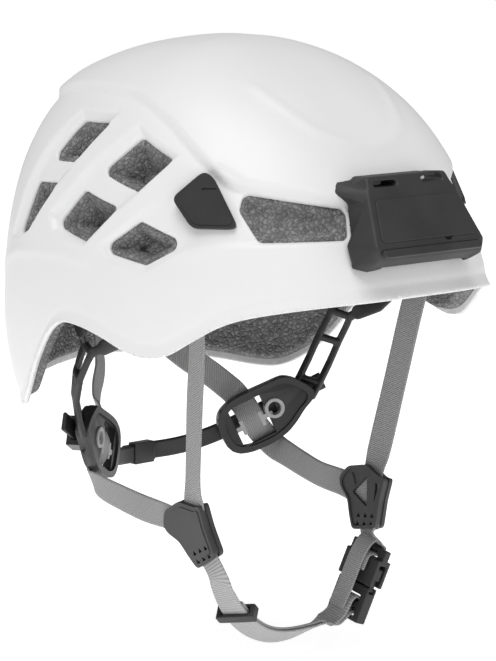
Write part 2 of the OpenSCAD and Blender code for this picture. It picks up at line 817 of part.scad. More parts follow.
module prong(s) {
    color("darkslategray")
        buckle_seat()
            difference() {
                union() {
                    translate([-1.6, s * 9.6 - prong_thick / 2, -1.9])
                        cube([3.2, prong_thick, 12.4]);
                    translate([-1.6, s * 9.6, -1.9])
                        rotate([0, 90, 0])
                            cylinder(r = 1.45, h = 3.2, $fn = round_fn);
                    translate([-1.6, s * 11.1 - 1.2, 4])
                        cube([3.2, 2.4, 6]);
                }
                translate([-3, s * 9.6, -1.9])
                    rotate([0, 90, 0])
                        cylinder(r = 0.7 + pin_run, h = 6, $fn = round_fn);
            }
}

module buckle_prong_front() {
    prong(-1);
}

module buckle_prong_rear() {
    prong(1);
}

// Short webbing from the left divider round the socket's top bar
module buckle_webbing() {
    loop = [[0.2, 22.6], [3.6, 21.6], [4.2, 19.6], [3.4, 17.4], [0, 16.6], [-3.2, 16.4],
        [-5.4, 15.2], [-6, 12], [-6.2, 7]];
    turn = [[0.6, 1], [1, 0.6], [1, -0.1], [0.5, -1], [0.05, -1], [0.2, -1], [0.8, -0.5],
        [1, 0], [1, 0]];
    color("gray")
        strap(concat([divider_point(4.8, -12), divider_point(5.6, -18)],
            [for (p = loop) buckle_point(p[0], 0, p[1])]),
            concat([divider_face, divider_face],
            [for (p = turn) buckle_point(p[0], 0, p[1]) - buckle_at]), web_width - 1, web_thick);
}

// Stitched webbing flap between the buckle and the cheek
module buckle_guard() {
    flap = [[-3.9, 24.4], [-6.4, 22.2], [-8.6, 18], [-9.7, 12], [-9.8, 3], [-9.9, -4],
        [-10.2, -10], [-10.6, -15]];
    p = [for (q = flap) buckle_point(q[0], 0, q[1])];
    color("gray")
        strap(p, [for (q = p) [1, 0, 0]], web_width, web_thick);
}

// Chin strap from the right divider, through the plug's ladder, with its tail folded back
chin_path = [flip([divider_point(13.1, -17.9)])[0], [-56.6, -44.4, -143.4],
    [-52.6, -42.8, -150], [-46.5, -41, -158.6], [-39.5, -38.8, -166], [-30, -36, -173.6],
    [-18, -33.4, -180.6], [-5, -31.8, -184.9], [6, -31.4, -186], [16.5, -31.4, -185.4],
    [25.6, -32.2, -183.8]];
chin_face = [[0.985, 0, 0.17], [0.95, 0.08, 0.3], [0.88, 0.18, 0.44], [0.8, 0.3, 0.6],
    [0.7, 0.42, 0.72], [0.58, 0.5, 0.82], [0.4, 0.55, 0.85], [0.15, 0.6, 0.85], [-0.1, 0.58, 0.85],
    [-0.25, 0.5, 0.85], [-0.4, 0.35, 0.85]];
keeper_index = 4;
ladder = [[-9.5, -24], [-6.2, -20.6], [-4.4, -17.6], [-2.4, -16.2], [3.2, -15], [5, -13.8],
    [5.4, -11.6], [5, -9.4], [3.2, -8.4], [-2.6, -7.4], [-4.8, -8], [-6, -10], [-6.4, -14],
    [-7.2, -18], [-9.4, -21.4], [-13, -24.6]];
ladder_face = [[-0.6, 0.8], [-0.9, 0.5], [-0.8, 0.6], [-0.3, 1], [-0.3, 1], [-0.8, 0.6], [-1, 0],
    [-0.8, -0.6], [-0.3, -1], [0.4, -1], [0.9, -0.6], [1, -0.2], [1, 0], [1, -0.2], [0.8, -0.6],
    [0.7, -0.8]];

module chin_webbing() {
    back = [for (i = [len(chin_path) - 1:-1:3]) i];
    color("gray")
        strap(concat(chin_path, [for (p = ladder) buckle_point(p[0], 0, p[1])],
            [for (i = back) chin_path[i] + 1.7 * unit(chin_face[i])]),
            concat(chin_face, [for (p = ladder_face) buckle_point(p[0], 0, p[1]) - buckle_at],
            [for (i = back) -chin_face[i]]), web_width, web_thick);
}

// Loop that holds the folded tail against the chin strap
keeper_turn = [-10.6, 41, 16.9];

module strap_keeper() {
    color("black")
        translate(chin_path[keeper_index] + 0.85 * unit(chin_face[keeper_index]))
            rotate(keeper_turn)
                difference() {
                    cube([6, 21, 7.4], center = true);
                    cube([10, web_width + 2.4, 4.6], center = true);
                }
}

outer_shell();
foam_liner();
crown_liner();
forehead_pad();
crown_pad();
lamp_plate();
lamp_clip_base_left();
lamp_clip_base_right();
lamp_clip_left();
lamp_clip_right();
rear_clip_base();
rear_clip();
strap_anchor_front_left();
strap_anchor_front_right();
strap_anchor_rear_left();
strap_anchor_rear_right();
front_webbing_left();
front_webbing_right();
rear_webbing_left();
rear_webbing_right();
headband_arm_left();
headband_arm_right();
arm_pin_front_left();
arm_pin_front_right();
arm_pin_rear_left();
arm_pin_rear_right();
adjuster_plate_left();
adjuster_plate_right();
adjuster_button_left();
adjuster_button_right();
nape_strap_left();
nape_strap_right();
nape_sleeve();
divider_left();
divider_right();
divider_cover_left();
divider_cover_right();
buckle_webbing();
buckle_guard();
buckle_socket();
buckle_plug();
buckle_prong_front();
buckle_prong_rear();
chin_webbing();
strap_keeper();
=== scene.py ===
"""Looks of the climbing helmet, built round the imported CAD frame. Lengths here are millimetres."""

import json
from math import atan2, cos, pi, radians, sin

import bmesh
import bpy
import numpy as np
from mathutils import Matrix, Vector
from mathutils.geometry import delaunay_2d_cdt


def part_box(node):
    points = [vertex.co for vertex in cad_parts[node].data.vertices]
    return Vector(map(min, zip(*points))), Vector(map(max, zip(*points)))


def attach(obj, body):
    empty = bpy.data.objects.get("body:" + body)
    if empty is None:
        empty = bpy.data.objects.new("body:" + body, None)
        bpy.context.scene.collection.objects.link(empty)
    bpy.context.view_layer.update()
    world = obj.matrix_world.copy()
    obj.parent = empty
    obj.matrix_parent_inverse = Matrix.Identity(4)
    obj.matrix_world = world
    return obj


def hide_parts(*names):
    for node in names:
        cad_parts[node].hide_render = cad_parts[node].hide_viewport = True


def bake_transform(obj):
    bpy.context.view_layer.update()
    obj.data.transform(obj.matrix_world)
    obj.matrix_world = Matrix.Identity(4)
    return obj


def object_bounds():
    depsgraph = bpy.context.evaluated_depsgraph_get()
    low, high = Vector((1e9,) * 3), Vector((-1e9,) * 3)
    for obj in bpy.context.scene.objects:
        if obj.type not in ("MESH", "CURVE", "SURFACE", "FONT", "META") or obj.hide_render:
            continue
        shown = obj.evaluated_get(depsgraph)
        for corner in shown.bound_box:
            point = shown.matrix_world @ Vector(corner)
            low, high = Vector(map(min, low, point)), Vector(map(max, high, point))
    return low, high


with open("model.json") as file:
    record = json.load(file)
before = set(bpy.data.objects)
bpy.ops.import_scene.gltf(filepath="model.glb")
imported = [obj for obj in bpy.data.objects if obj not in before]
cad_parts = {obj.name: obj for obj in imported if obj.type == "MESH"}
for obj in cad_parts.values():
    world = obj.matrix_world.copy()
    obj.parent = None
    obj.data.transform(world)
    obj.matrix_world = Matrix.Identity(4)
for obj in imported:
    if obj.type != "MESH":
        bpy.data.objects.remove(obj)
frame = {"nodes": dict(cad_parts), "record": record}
cad_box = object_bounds()
nodes = frame["nodes"]
MM = 0.001
ROOT = "helmet"
SIDES = ("left", "right")
BEVEL_SEGMENTS = 3
# Vertices of the CAD's meshes nearer than this are joined, in metres
MERGE_M = 2e-6


# ---------- small helpers ----------
def unit(v):
    v = np.asarray(v, float)
    return v / np.linalg.norm(v)


def smooth(x):
    x = np.clip(x, 0, 1)
    return x * x * (3 - 2 * x)


def turned(rx, ry, rz):
    """Rotation about X, then Y, then Z, in degrees."""
    return np.array((Matrix.Rotation(radians(rz), 3, "Z") @ Matrix.Rotation(radians(ry), 3, "Y")
                     @ Matrix.Rotation(radians(rx), 3, "X")))


def mirrored(points):
    return np.asarray(points, float) * [-1, 1, 1]


def new_object(name, data):
    obj = bpy.data.objects.new(name, data)
    bpy.context.scene.collection.objects.link(obj)
    return obj


def add_mesh(name, verts, faces, material, body=ROOT, stands_for=(), uv=None):
    """New piece from vertices in millimetres. uv gives one (u, v) per vertex."""
    mesh = bpy.data.meshes.new(name)
    mesh.from_pydata([tuple(v) for v in np.asarray(verts, float) * MM], [], [tuple(f) for f in faces])
    if uv is not None:
        layer = mesh.uv_layers.new(name="weave")
        index = np.empty(len(mesh.loops), dtype=np.int32)
        mesh.loops.foreach_get("vertex_index", index)
        layer.data.foreach_set("uv", np.asarray(uv, float)[index].ravel())
    show_smooth(mesh)
    mesh.update()
    obj = new_object(name, mesh)
    mesh.materials.append(material)
    finish_piece(obj, body, stands_for)
    return obj


def finish_piece(obj, body, stands_for):
    if body:
        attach(obj, body)
    if stands_for:
        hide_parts(*stands_for)


def bevel(obj, width, angle):
    """Rounds the edges that turn by more than angle degrees."""
    m = obj.modifiers.new("edge", "BEVEL")
    m.width = width * MM
    m.segments = BEVEL_SEGMENTS
    m.limit_method = "ANGLE"
    m.angle_limit = radians(angle)
    m.harden_normals = True


def clean_solid(node):
    """A node's solid as a bmesh, its flat faces in one piece each."""
    bm = bmesh.new()
    bm.from_mesh(nodes[node].data)
    bmesh.ops.remove_doubles(bm, verts=bm.verts, dist=MERGE_M)
    bmesh.ops.dissolve_limit(bm, angle_limit=radians(1.0), verts=bm.verts, edges=bm.edges)
    bmesh.ops.recalc_face_normals(bm, faces=bm.faces)
    return bm


def show_smooth(mesh):
    mesh.polygons.foreach_set("use_smooth", [True] * len(mesh.polygons))


# ---------- materials ----------
class Look:
    """A node material built up in steps."""

    def __init__(self, name, rough=0.5, **constants):
        self.mat = bpy.data.materials.new(name)
        self.mat.use_nodes = True
        self.tree = self.mat.node_tree
        self.bsdf = self.tree.nodes["Principled BSDF"]
        self.bsdf.inputs["Roughness"].default_value = rough
        for key, value in constants.items():
            self.bsdf.inputs[key.replace("_", " ")].default_value = value
        self.height = None

    def node(self, kind, **values):
        """New node, given its settings and its inputs, as values or sockets to link."""
        n = self.tree.nodes.new(kind)
        for key, value in values.items():
            if key not in n.inputs:
                setattr(n, key, value)
            elif isinstance(value, bpy.types.NodeSocket):
                self.link(value, n.inputs[key])
            else:
                n.inputs[key].default_value = value
        return n

    def link(self, a, b):
        self.tree.links.new(a, b)

    def coords(self, kind="Object", scale=(1, 1, 1)):
        tex = self.node("ShaderNodeTexCoord")
        return self.node("ShaderNodeMapping", Vector=tex.outputs[kind], Scale=scale).outputs["Vector"]

    def noise(self, scale, detail=2.0, vector=None, roughness=0.5):
        return self.node("ShaderNodeTexNoise", Scale=scale, Detail=detail, Roughness=roughness,
                         Vector=vector or self.coords()).outputs["Fac"]

    def ramp(self, fac, low, high, start=0.3, end=0.7):
        """Greys from low to high as fac goes from start to end."""
        n = self.node("ShaderNodeValToRGB", Fac=fac)
        for element, level, grey in zip(n.color_ramp.elements, (start, end), (low, high)):
            element.position = level
            element.color = (grey, grey, grey, 1)
        return n.outputs["Color"]

    def colour(self, socket):
        self.link(socket, self.bsdf.inputs["Base Color"])

    def between(self, fac, low, high, target):
        n = self.node("ShaderNodeMapRange", Value=fac, **{"To Min": low, "To Max": high})
        self.link(n.outputs["Result"], self.bsdf.inputs[target])

    def math(self, op, a, b):
        n = self.node("ShaderNodeMath", operation=op)
        for socket, value in zip(n.inputs, (a, b)):
            if isinstance(value, (int, float)):
                socket.default_value = value
            else:
                self.link(value, socket)
        return n.outputs[0]

    def bump(self, height, distance, strength=1.0):
        """Adds surface relief; distance is in millimetres."""
        n = self.node("ShaderNodeBump", Strength=strength, Distance=distance * MM, Height=height)
        if self.height:
            self.link(self.height, n.inputs["Normal"])
        self.height = n.outputs["Normal"]
        self.link(self.height, self.bsdf.inputs["Normal"])


def shell_look():
    look = Look("shell_white", rough=0.42, Coat_Weight=0.08, Coat_Roughness=0.3)
    look.colour(look.ramp(look.noise(14, 3), 0.80, 0.84))
    look.between(look.noise(60, 3), 0.38, 0.48, "Roughness")
    look.bump(look.noise(420, 2), 0.05, 0.35)
    return look.mat


def plastic_look(name, low, high, rough_low, rough_high):
    look = Look(name, rough=rough_low)
    look.colour(look.ramp(look.noise(40, 4), low, high))
    look.between(look.noise(130, 3), rough_low, rough_high, "Roughness")
    look.bump(look.noise(900, 3), 0.06, 0.6)
    return look.mat


def bead_look(name, low, high, bead):
    """Moulded foam beads of a size in mm: rounded cells with dark seams between them."""
    look = Look(name, rough=0.75)
    size = 1000 / bead
    base = look.coords()
    wobble = look.node("ShaderNodeTexNoise", Scale=size * 0.6, Detail=1.0, Vector=base)
    mixed = look.node("ShaderNodeMix", data_type="VECTOR", Factor=0.0012)
    look.link(base, mixed.inputs[4])
    look.link(wobble.outputs["Color"], mixed.inputs[5])
    bent = mixed.outputs[1]
    edge = look.node("ShaderNodeTexVoronoi", feature="DISTANCE_TO_EDGE", Scale=size, Vector=bent)
    cell = look.node("ShaderNodeTexVoronoi", feature="F1", Scale=size, Vector=bent)
    tone = look.node("ShaderNodeSeparateColor", Color=cell.outputs["Color"])
    body = look.ramp(tone.outputs["Red"], low, high, 0.0, 1.0)
    seam = look.ramp(edge.outputs["Distance"], 0.3, 1.0, 0.0, 0.1)
    mix = look.node("ShaderNodeMix", data_type="RGBA", blend_type="MULTIPLY", Factor=0.85)
    look.link(body, mix.inputs[6])
    look.link(seam, mix.inputs[7])
    look.colour(mix.outputs[2])
    dome = look.node("ShaderNodeMapRange", interpolation_type="SMOOTHSTEP",
                     Value=edge.outputs["Distance"], **{"From Max": 0.35})
    look.bump(dome.outputs["Result"], 0.7, 1.0)
    look.bump(look.noise(1500, 2), 0.12, 0.6)
    return look.mat


def webbing_look(name, low, high, ribs):
    """Woven tape with flecked yarn: a diagonal twill or, with ribs, threads straight across."""
    look = Look(name, rough=0.85, Sheen_Weight=0.25)
    uv = look.coords("UV")
    split = look.node("ShaderNodeSeparateXYZ", Vector=uv)
    across, along = split.outputs["X"], split.outputs["Y"]
    lean = look.math("ADD", along, look.math("MULTIPLY", across, 0.0 if ribs else 0.75))
    pitch = 1.55 if ribs else 1.25
    wave = look.math("SINE", look.math("MULTIPLY", lean, 2 * pi / pitch), 0)
    yarn = look.math("SINE", look.math("MULTIPLY", across, 2 * pi / 0.8), 0)
    weave = look.math("ADD", look.math("MULTIPLY", wave, 0.32), look.math("MULTIPLY", yarn, 0.14))
    fleck = look.noise(1.9, 3, uv, 0.7)
    tone = look.math("ADD", look.math("MULTIPLY", weave, 0.55), fleck)
    look.colour(look.ramp(tone, low, high, 0.2, 0.78))
    look.bump(weave, 0.35, 0.9)
    look.bump(look.noise(9, 2, uv), 0.1, 0.5)
    return look.mat


def fabric_look():
    look = Look("pad_fabric", rough=0.9, Sheen_Weight=0.4)
    look.colour(look.ramp(look.noise(900, 2), 0.035, 0.075))
    cell = look.node("ShaderNodeTexVoronoi", feature="F1", Scale=620.0, Vector=look.coords())
    look.bump(cell.outputs["Distance"], 0.4, 0.8)
    return look.mat


SHELL = shell_look()
# The liner foam is painted darker than the crown foam: painted shade, the grey its beads show in the shadow
# inside the vents.
SHADED_FOAM = bead_look("liner_foam_painted_shade", 0.17, 0.31, 2.4)
CROWN_FOAM = bead_look("crown_foam", 0.42, 0.5, 2.6)
SATIN = plastic_look("satin_black", 0.016, 0.024, 0.34, 0.46)
SOFT_BLACK = plastic_look("soft_black", 0.022, 0.034, 0.5, 0.62)
GREY_PLASTIC = plastic_look("grey_plastic", 0.04, 0.055, 0.46, 0.58)
PALE_PLASTIC = plastic_look("pale_plastic", 0.42, 0.5, 0.4, 0.5)
STEEL_GREY = plastic_look("pin_grey", 0.10, 0.13, 0.35, 0.45)
WEBBING = webbing_look("webbing_grey", 0.18, 0.5, False)
CHIN_TAPE = webbing_look("chin_webbing_grey", 0.22, 0.55, True)
PAD = fabric_look()

# ---------- the shell's surface ----------
# Distance from the centre every 15 degrees of height from -30, towards the front, side and rear
FRONT = np.array([146, 139, 132, 124.5, 119, 116, 116.5, 119, 121.5])
SIDE = np.array([124, 117.5, 112, 110.5, 113, 118, 121, 121.8, 121.5])
REAR = np.array([135, 131.5, 130.5, 133.5, 137, 137.5, 130.5, 124.5, 121.5])
PLAN_POWER = 2.25
# The shell's wall, the gap inside it, the step at the crown cap and the lip round the rim
WALL = 2.4
GAP = 0.3
CROWN_STEP = 2.2
LIP = 1.3
LIP_WIDTH = 2.6
# The foam's thickness at the crown and at the rim, and the height angle where the crown's foam begins
FOAM_THICK = 20
FOAM_RIM = 9
FOAM_SPLIT = 56
# Height angle of the rim and of the crown cap's edge, against the angle round from the brow
RIM = np.array([[0, 1], [20, 0.5], [32, -0.5], [42, -2.2], [48, -4.3], [54, -7.8], [60, -11.3],
                [66, -12.6], [72, -11.8], [80, -9.3], [88, -7.6], [95, -7.4], [100, -10],
                [106, -16.5], [113, -23.5], [120, -28], [127, -30.3], [134, -30], [145, -28],
                [160, -26.2], [180, -25]])
CROWN = np.array([[0, 22], [16, 22.6], [28, 25.2], [41, 27.4], [47, 29.5], [53, 34.5], [66, 44.5],
                  [80, 51], [92, 53.5], [110, 53], [125, 50.5], [144, 44], [160, 40.5], [180, 39]])
# Corners of the vents, as [angle round, height angle]
VENTS = {
    "upper_rear": [[112.5, 43.8], [95.5, 46], [103.5, 35.2], [118, 33.3]],
    "upper_mid": [[78, 41.8], [64.5, 35.8], [73.5, 28.9], [89.5, 33.4]],
    "low_rear": [[122.5, 25], [109.2, 27], [118, 14.3], [126, 10.8]],
    "low_mid": [[96.5, 26.6], [80.7, 23], [91, 14.8], [104, 17.4]],
    "low_front": [[70.5, 19.3], [58.5, 14.7], [67.5, 10.1], [81, 12.7]],
    "brow": [[41.5, 25.6], [17, 21.2], [18, 15.4], [38, 15.6], [42.3, 22.6]],
}
# Recessed panels round the vents: corners, depth and the width of the slope into them, in mm
CHANNELS = [
    ([[93.2, 48.8], [115, 46.4], [122.4, 34.4], [126, 25], [129.5, 9], [118, 13], [102.8, 33.9]], 3.0, 3.4),
    ([[79.6, 45.4], [61.2, 36.8], [63.4, 34.7], [72.4, 27.1], [79.4, 22.1], [90, 12.4], [105, 14.8],
      [108.6, 18.9], [94.4, 35.2]], 3.0, 3.4),
    ([[61, 27.5], [72, 21.9], [84.8, 13], [81, 9.6], [67, 7.2], [56.5, 12.9], [40, 13.6], [14, 13.9],
      [13, 24], [41, 29.5], [49, 34]], 1.1, 3.0),
]
# Soft creases: corner lists, height in mm, half width in mm
CREASES = [
    ([[37, 56], [30, 51], [18.5, 42], [9, 38.6], [0, 37.5]], 0.7, 3.4),
    ([[150, 1], [137, 2.5], [122, 7.6], [108.5, 9.5], [98, 10], [88, 8.6]], 0.6, 3.0),
    ([[57.5, 12.4], [48, 13.2], [34, 13.2], [18, 13.3], [0, 13.6]], 0.45, 2.2),
]
# Millimetres on the surface to a degree
DEG_MM = 2.1
# Corner radius of the vents, and how far the shown openings run past the CAD's
VENT_CORNER = 2.2
VENT_EXTRA = 1.9
FAR = 1e9
HEX_ROW = 0.866


def table_at(table, x, over):
    """Smooth curve through the table, running on into over past its end."""
    n = len(table)
    i = np.clip(np.floor(x).astype(int), 0, n - 2)
    f = x - i
    b, c = table[i], table[i + 1]
    a = np.where(i > 0, table[np.maximum(i - 1, 0)], 2 * b - c)
    d = np.where(i + 2 < n, table[np.minimum(i + 2, n - 1)], over[i])
    return 0.5 * (2 * b + (c - a) * f + (2 * a - 5 * b + 4 * c - d) * f ** 2
                  + (3 * b - a - 3 * c + d) * f ** 3)


def off_brow(al):
    """Angle from the brow, the same on both sides."""
    return np.abs((np.asarray(al, float) + 180) % 360 - 180)


def knots_at(knots, al):
    """Smooth curve through knots, given the angle round from the brow."""
    x = off_brow(al)
    k, v = knots[:, 0], knots[:, 1]
    slope = np.zeros(len(k))
    slope[1:-1] = (v[2:] - v[:-2]) / (k[2:] - k[:-2])
    i = np.clip(np.searchsorted(k, x, side="right") - 1, 0, len(k) - 2)
    h = k[i + 1] - k[i]
    t = (x - k[i]) / h
    return ((2 * t ** 3 - 3 * t ** 2 + 1) * v[i] + (t ** 3 - 2 * t ** 2 + t) * h * slope[i]
            + (3 * t ** 2 - 2 * t ** 3) * v[i + 1] + (t ** 3 - t ** 2) * h * slope[i + 1])


def reach(al, be):
    """Distance from the centre to the smooth surface, before its relief."""
    x = (be + 30) / 15
    power = 2 + (PLAN_POWER - 2) * smooth((80 - be) / 50)
    a = np.radians(al)
    fore = np.where(np.cos(a) >= 0, table_at(FRONT, x, REAR), table_at(REAR, x, FRONT))
    s = np.abs(np.sin(a)) / table_at(SIDE, x, SIDE)
    c = np.abs(np.cos(a)) / fore
    return (s ** power + c ** power) ** (-1 / power)


def at(al, be, off):
    """Points on the surface, moved outwards by off."""
    al, be = np.asarray(al, float), np.asarray(be, float)
    r = reach(al, be) + off
    a, b = np.radians(al), np.radians(be)
    return np.stack([-r * np.sin(a) * np.cos(b), -r * np.cos(a) * np.cos(b), r * np.sin(b)], -1)


def flatten(corners):
    """Middle of an outline, millimetres to its degree round, and its corners in millimetres."""
    mid = np.mean(corners, axis=0)
    k = DEG_MM * cos(radians(mid[1]))
    return mid, k, np.array([[(c[0] - mid[0]) * k, (c[1] - mid[1]) * DEG_MM] for c in corners])


def local(corners, al, be):
    """Millimetres round the middle of an outline on the surface, on whichever side is nearer."""
    mid, k, flat = flatten(corners)
    return flat, np.stack([(off_brow(al) - mid[0]) * k, (be - mid[1]) * DEG_MM], -1)


def segment_distance(p, a, b):
    ab = b - a
    t = np.clip(((p - a) @ ab) / (ab @ ab), 0, 1)
    return np.linalg.norm(p - a - t[:, None] * ab, axis=1)


def outline_distance(poly, p):
    """Signed distance to a closed outline, negative inside."""
    best = np.full(len(p), FAR)
    inside = np.zeros(len(p), bool)
    for a, b in zip(poly, np.roll(poly, -1, axis=0)):
        best = np.minimum(best, segment_distance(p, a, b))
        crosses = (a[1] > p[:, 1]) != (b[1] > p[:, 1])
        with np.errstate(divide="ignore", invalid="ignore"):
            x = a[0] + (p[:, 1] - a[1]) / (b[1] - a[1]) * (b[0] - a[0])
        inside ^= crosses & (p[:, 0] < x)
    return np.where(inside, -best, best)


def winding(poly):
    """Twice the signed area of an outline."""
    n = len(poly)
    return sum(poly[i][0] * poly[(i + 1) % n][1] - poly[(i + 1) % n][0] * poly[i][1] for i in range(n))


def inset(poly, by):
    """Convex outline moved inwards by a distance."""
    n = len(poly)
    turn = 1 if winding(poly) > 0 else -1
    lines = []
    for i in range(n):
        d = unit(poly[(i + 1) % n] - poly[i])
        normal = np.array([-d[1], d[0]]) * turn
        lines.append((poly[i] + normal * by, d))
    out = []
    for i in range(n):
        (p, d), (q, e) = lines[i - 1], lines[i]
        t = np.linalg.solve(np.array([d, -e]).T, q - p)[0]
        out.append(p + d * t)
    return np.array(out)


def rounded(poly, radius, grow, step):
    """Loop of points round a convex outline with rounded corners, moved outwards by grow."""
    core = inset(poly, radius)
    n = len(core)
    if winding(core) < 0:
        core = core[::-1]
    r = radius + grow
    loop = []
    for i in range(n):
        before, here, after = core[i - 1], core[i], core[(i + 1) % n]
        d0, d1 = unit(here - before), unit(after - here)
        a0 = atan2(-d0[0], d0[1])
        a1 = atan2(-d1[0], d1[1])
        a1 += 2 * pi * (a1 < a0 - 1e-9)
        arcs = max(3, int(r * (a1 - a0) / step) + 2)
        for t in np.linspace(0, 1, arcs):
            d = a0 + (a1 - a0) * t
            loop.append(here + r * np.array([cos(d), sin(d)]))
        length = np.linalg.norm(after - here)
        away = r * np.array([d1[1], -d1[0]])
        start, end = here + away, after + away
        for t in np.linspace(0, 1, max(2, int(length / step)) + 1)[1:-1]:
            loop.append(start + (end - start) * t)
    return np.array(loop)


def vent_loop(corners, grow, radius=VENT_CORNER, step=1.0, scale=1.0, mirror=False):
    """(angle round, height angle) points of a vent's outline moved outwards by grow millimetres."""
    mid, k, flat = flatten(corners)
    loop = rounded(flat * scale, radius * scale, grow, step) / [k, DEG_MM] + mid
    if mirror:
        loop = loop * [-1, 1]
    return loop


def vent_loops(corners, grow, **how):
    """The vent's outline on both sides of the helmet."""
    return [vent_loop(corners, grow, mirror=m, **how) for m in (False, True)]


def vent_distance(corners, al, be):
    """Millimetres from the CAD's outline of a vent, negative inside."""
    flat, p = local(corners, al, be)
    return outline_distance(inset(flat, VENT_CORNER), p) - VENT_CORNER


def crease(points, al, be, height, half):
    """Rounded ridge along a run of points on the surface."""
    best = np.full(al.shape, FAR)
    for a, b in zip(points, points[1:]):
        scale = np.array([cos(radians((a[1] + b[1]) / 2)) * DEG_MM, DEG_MM])
        p = np.stack([off_brow(al), be], -1) * scale
        best = np.minimum(best, segment_distance(p, np.array(a) * scale, np.array(b) * scale))
    return height * np.exp(-(best / half) ** 2)


def channel_depth(al, be):
    depth = np.zeros(al.shape)
    for corners, deep, slope in CHANNELS:
        flat, p = local(corners, al, be)
        depth = np.maximum(depth, deep * smooth(-outline_distance(flat, p) / slope))
    return depth


def panel_step(al, be):
    """Side panels lie lower than the crown cap, with a sloping band between them."""
    edge = knots_at(CROWN, al)
    return (CROWN_STEP + 1.5) * (smooth((be - edge + 1.3) / 2.6) - 0.5)


def shell_relief(al, be):
    above = (be - knots_at(RIM, al)) * DEG_MM
    off = panel_step(al, be) - channel_depth(al, be)
    off = off + LIP * np.exp(-(above / LIP_WIDTH) ** 2) - 0.35 * np.exp(-((above - 6) / 1.5) ** 2)
    for points, height, half in CREASES:
        off = off + crease(points, al, be, height, half)
    return off


def edge_round(distance, radius):
    """How far a surface drops at a distance in from its rounded edge."""
    x = np.clip(radius - distance, 0, radius)
    return radius - np.sqrt(np.maximum(radius ** 2 - x ** 2, 0))


# ---------- sheets over the dome ----------
def to_plane(al, be):
    """The dome laid flat, with the top in the middle and a unit to the degree."""
    a = np.radians(al)
    return np.stack([-(90 - be) * np.sin(a), -(90 - be) * np.cos(a)], -1)


def from_plane(p):
    return np.degrees(np.arctan2(-p[..., 0], -p[..., 1])), 90 - np.hypot(p[..., 0], p[..., 1])


def hex_grid(spacing, limit):
    rows = int(limit / (spacing * HEX_ROW)) + 1
    out = []
    for j in range(-rows, rows + 1):
        x = np.arange(-limit, limit + spacing, spacing) + (j % 2) * spacing / 2
        out.append(np.stack([x, np.full(len(x), j * spacing * HEX_ROW)], -1))
    return np.concatenate(out)


def triangles(points, loops):
    """Triangles over the points, with the closed loops that come first among them kept as edges."""
    edges, start = [], 0
    for loop in loops:
        n = len(loop)
        edges += [(start + i, start + (i + 1) % n) for i in range(n)]
        start += n
    result = delaunay_2d_cdt([Vector(p) for p in points], edges, [], 0, 1e-6)
    pts = np.array([tuple(v) for v in result[0]])
    return pts, np.array([f for f in result[2] if len(f) == 3])


def turn_alike(pts, tris):
    """Turns every triangle the same way round."""
    a, b, c = pts[tris[:, 0]], pts[tris[:, 1]], pts[tris[:, 2]]
    u, v = b - a, c - a
    wrong = u[:, 0] * v[:, 1] - u[:, 1] * v[:, 0] < 0
    tris[wrong] = tris[wrong][:, ::-1]


def rows_along(al, edge, lifts):
    """Rows of points that follow an edge, each some degrees above it."""
    return [np.stack([al, edge + d], -1) for d in lifts]


def dome_sheet(rim_of, holes, extras, spacing, top=None):
    """Triangulates the dome above rim_of(al), less the holes. Returns (al, be, triangles)."""
    al_rim = np.arange(0, 360, 1.0)
    border = to_plane(al_rim, rim_of(al_rim))
    loops = [border] + [to_plane(h[:, 0], h[:, 1]) for h in holes]
    if top is not None:
        loops.append(to_plane(al_rim[::3], np.full(120, float(top))))
    fixed = np.concatenate(loops)
    free = np.concatenate([hex_grid(spacing, 125)] + [to_plane(e[:, 0], e[:, 1]) for e in extras])
    al, be = from_plane(free)
    keep = be > rim_of(al) + 0.12
    if top is not None:
        keep &= be < top - 0.3
    free = free[keep]
    # thin out points that crowd others, the fixed loops first
    order = np.concatenate([fixed, free])
    near = {}
    cell = spacing * 0.22
    chosen = []
    for i, p in enumerate(order):
        key = (int(p[0] // cell), int(p[1] // cell))
        if i < len(fixed) or key not in near:
            near[key] = i
            chosen.append(i)
    pts, tris = triangles(order[chosen], loops)
    mid = pts[tris].mean(axis=1)
    al, be = from_plane(mid)
    good = be > rim_of(al)
    if top is not None:
        good &= be < top
    for hole in holes:
        flat = to_plane(hole[:, 0], hole[:, 1])
        good &= outline_distance(flat, mid) > 0
    tris = tris[good]
    used = np.unique(tris)
    index = np.full(len(pts), -1)
    index[used] = np.arange(len(used))
    pts, tris = pts[used], index[tris]
    turn_alike(pts, tris)
    al, be = from_plane(pts)
    return al, be, tris


def closed(outer, inner, tris):
    """Solid between two sheets with the same triangles."""
    n = len(outer)
    edges = {}
    for t in tris:
        for i in range(3):
            a, b = int(t[i]), int(t[(i + 1) % 3])
            edges[(a, b)] = True
    walls = [(b, a, a + n, b + n) for (a, b) in edges if (b, a) not in edges]
    faces = [tuple(t) for t in tris] + [tuple(t[::-1] + n) for t in tris] + walls
    return np.concatenate([outer, inner]), faces


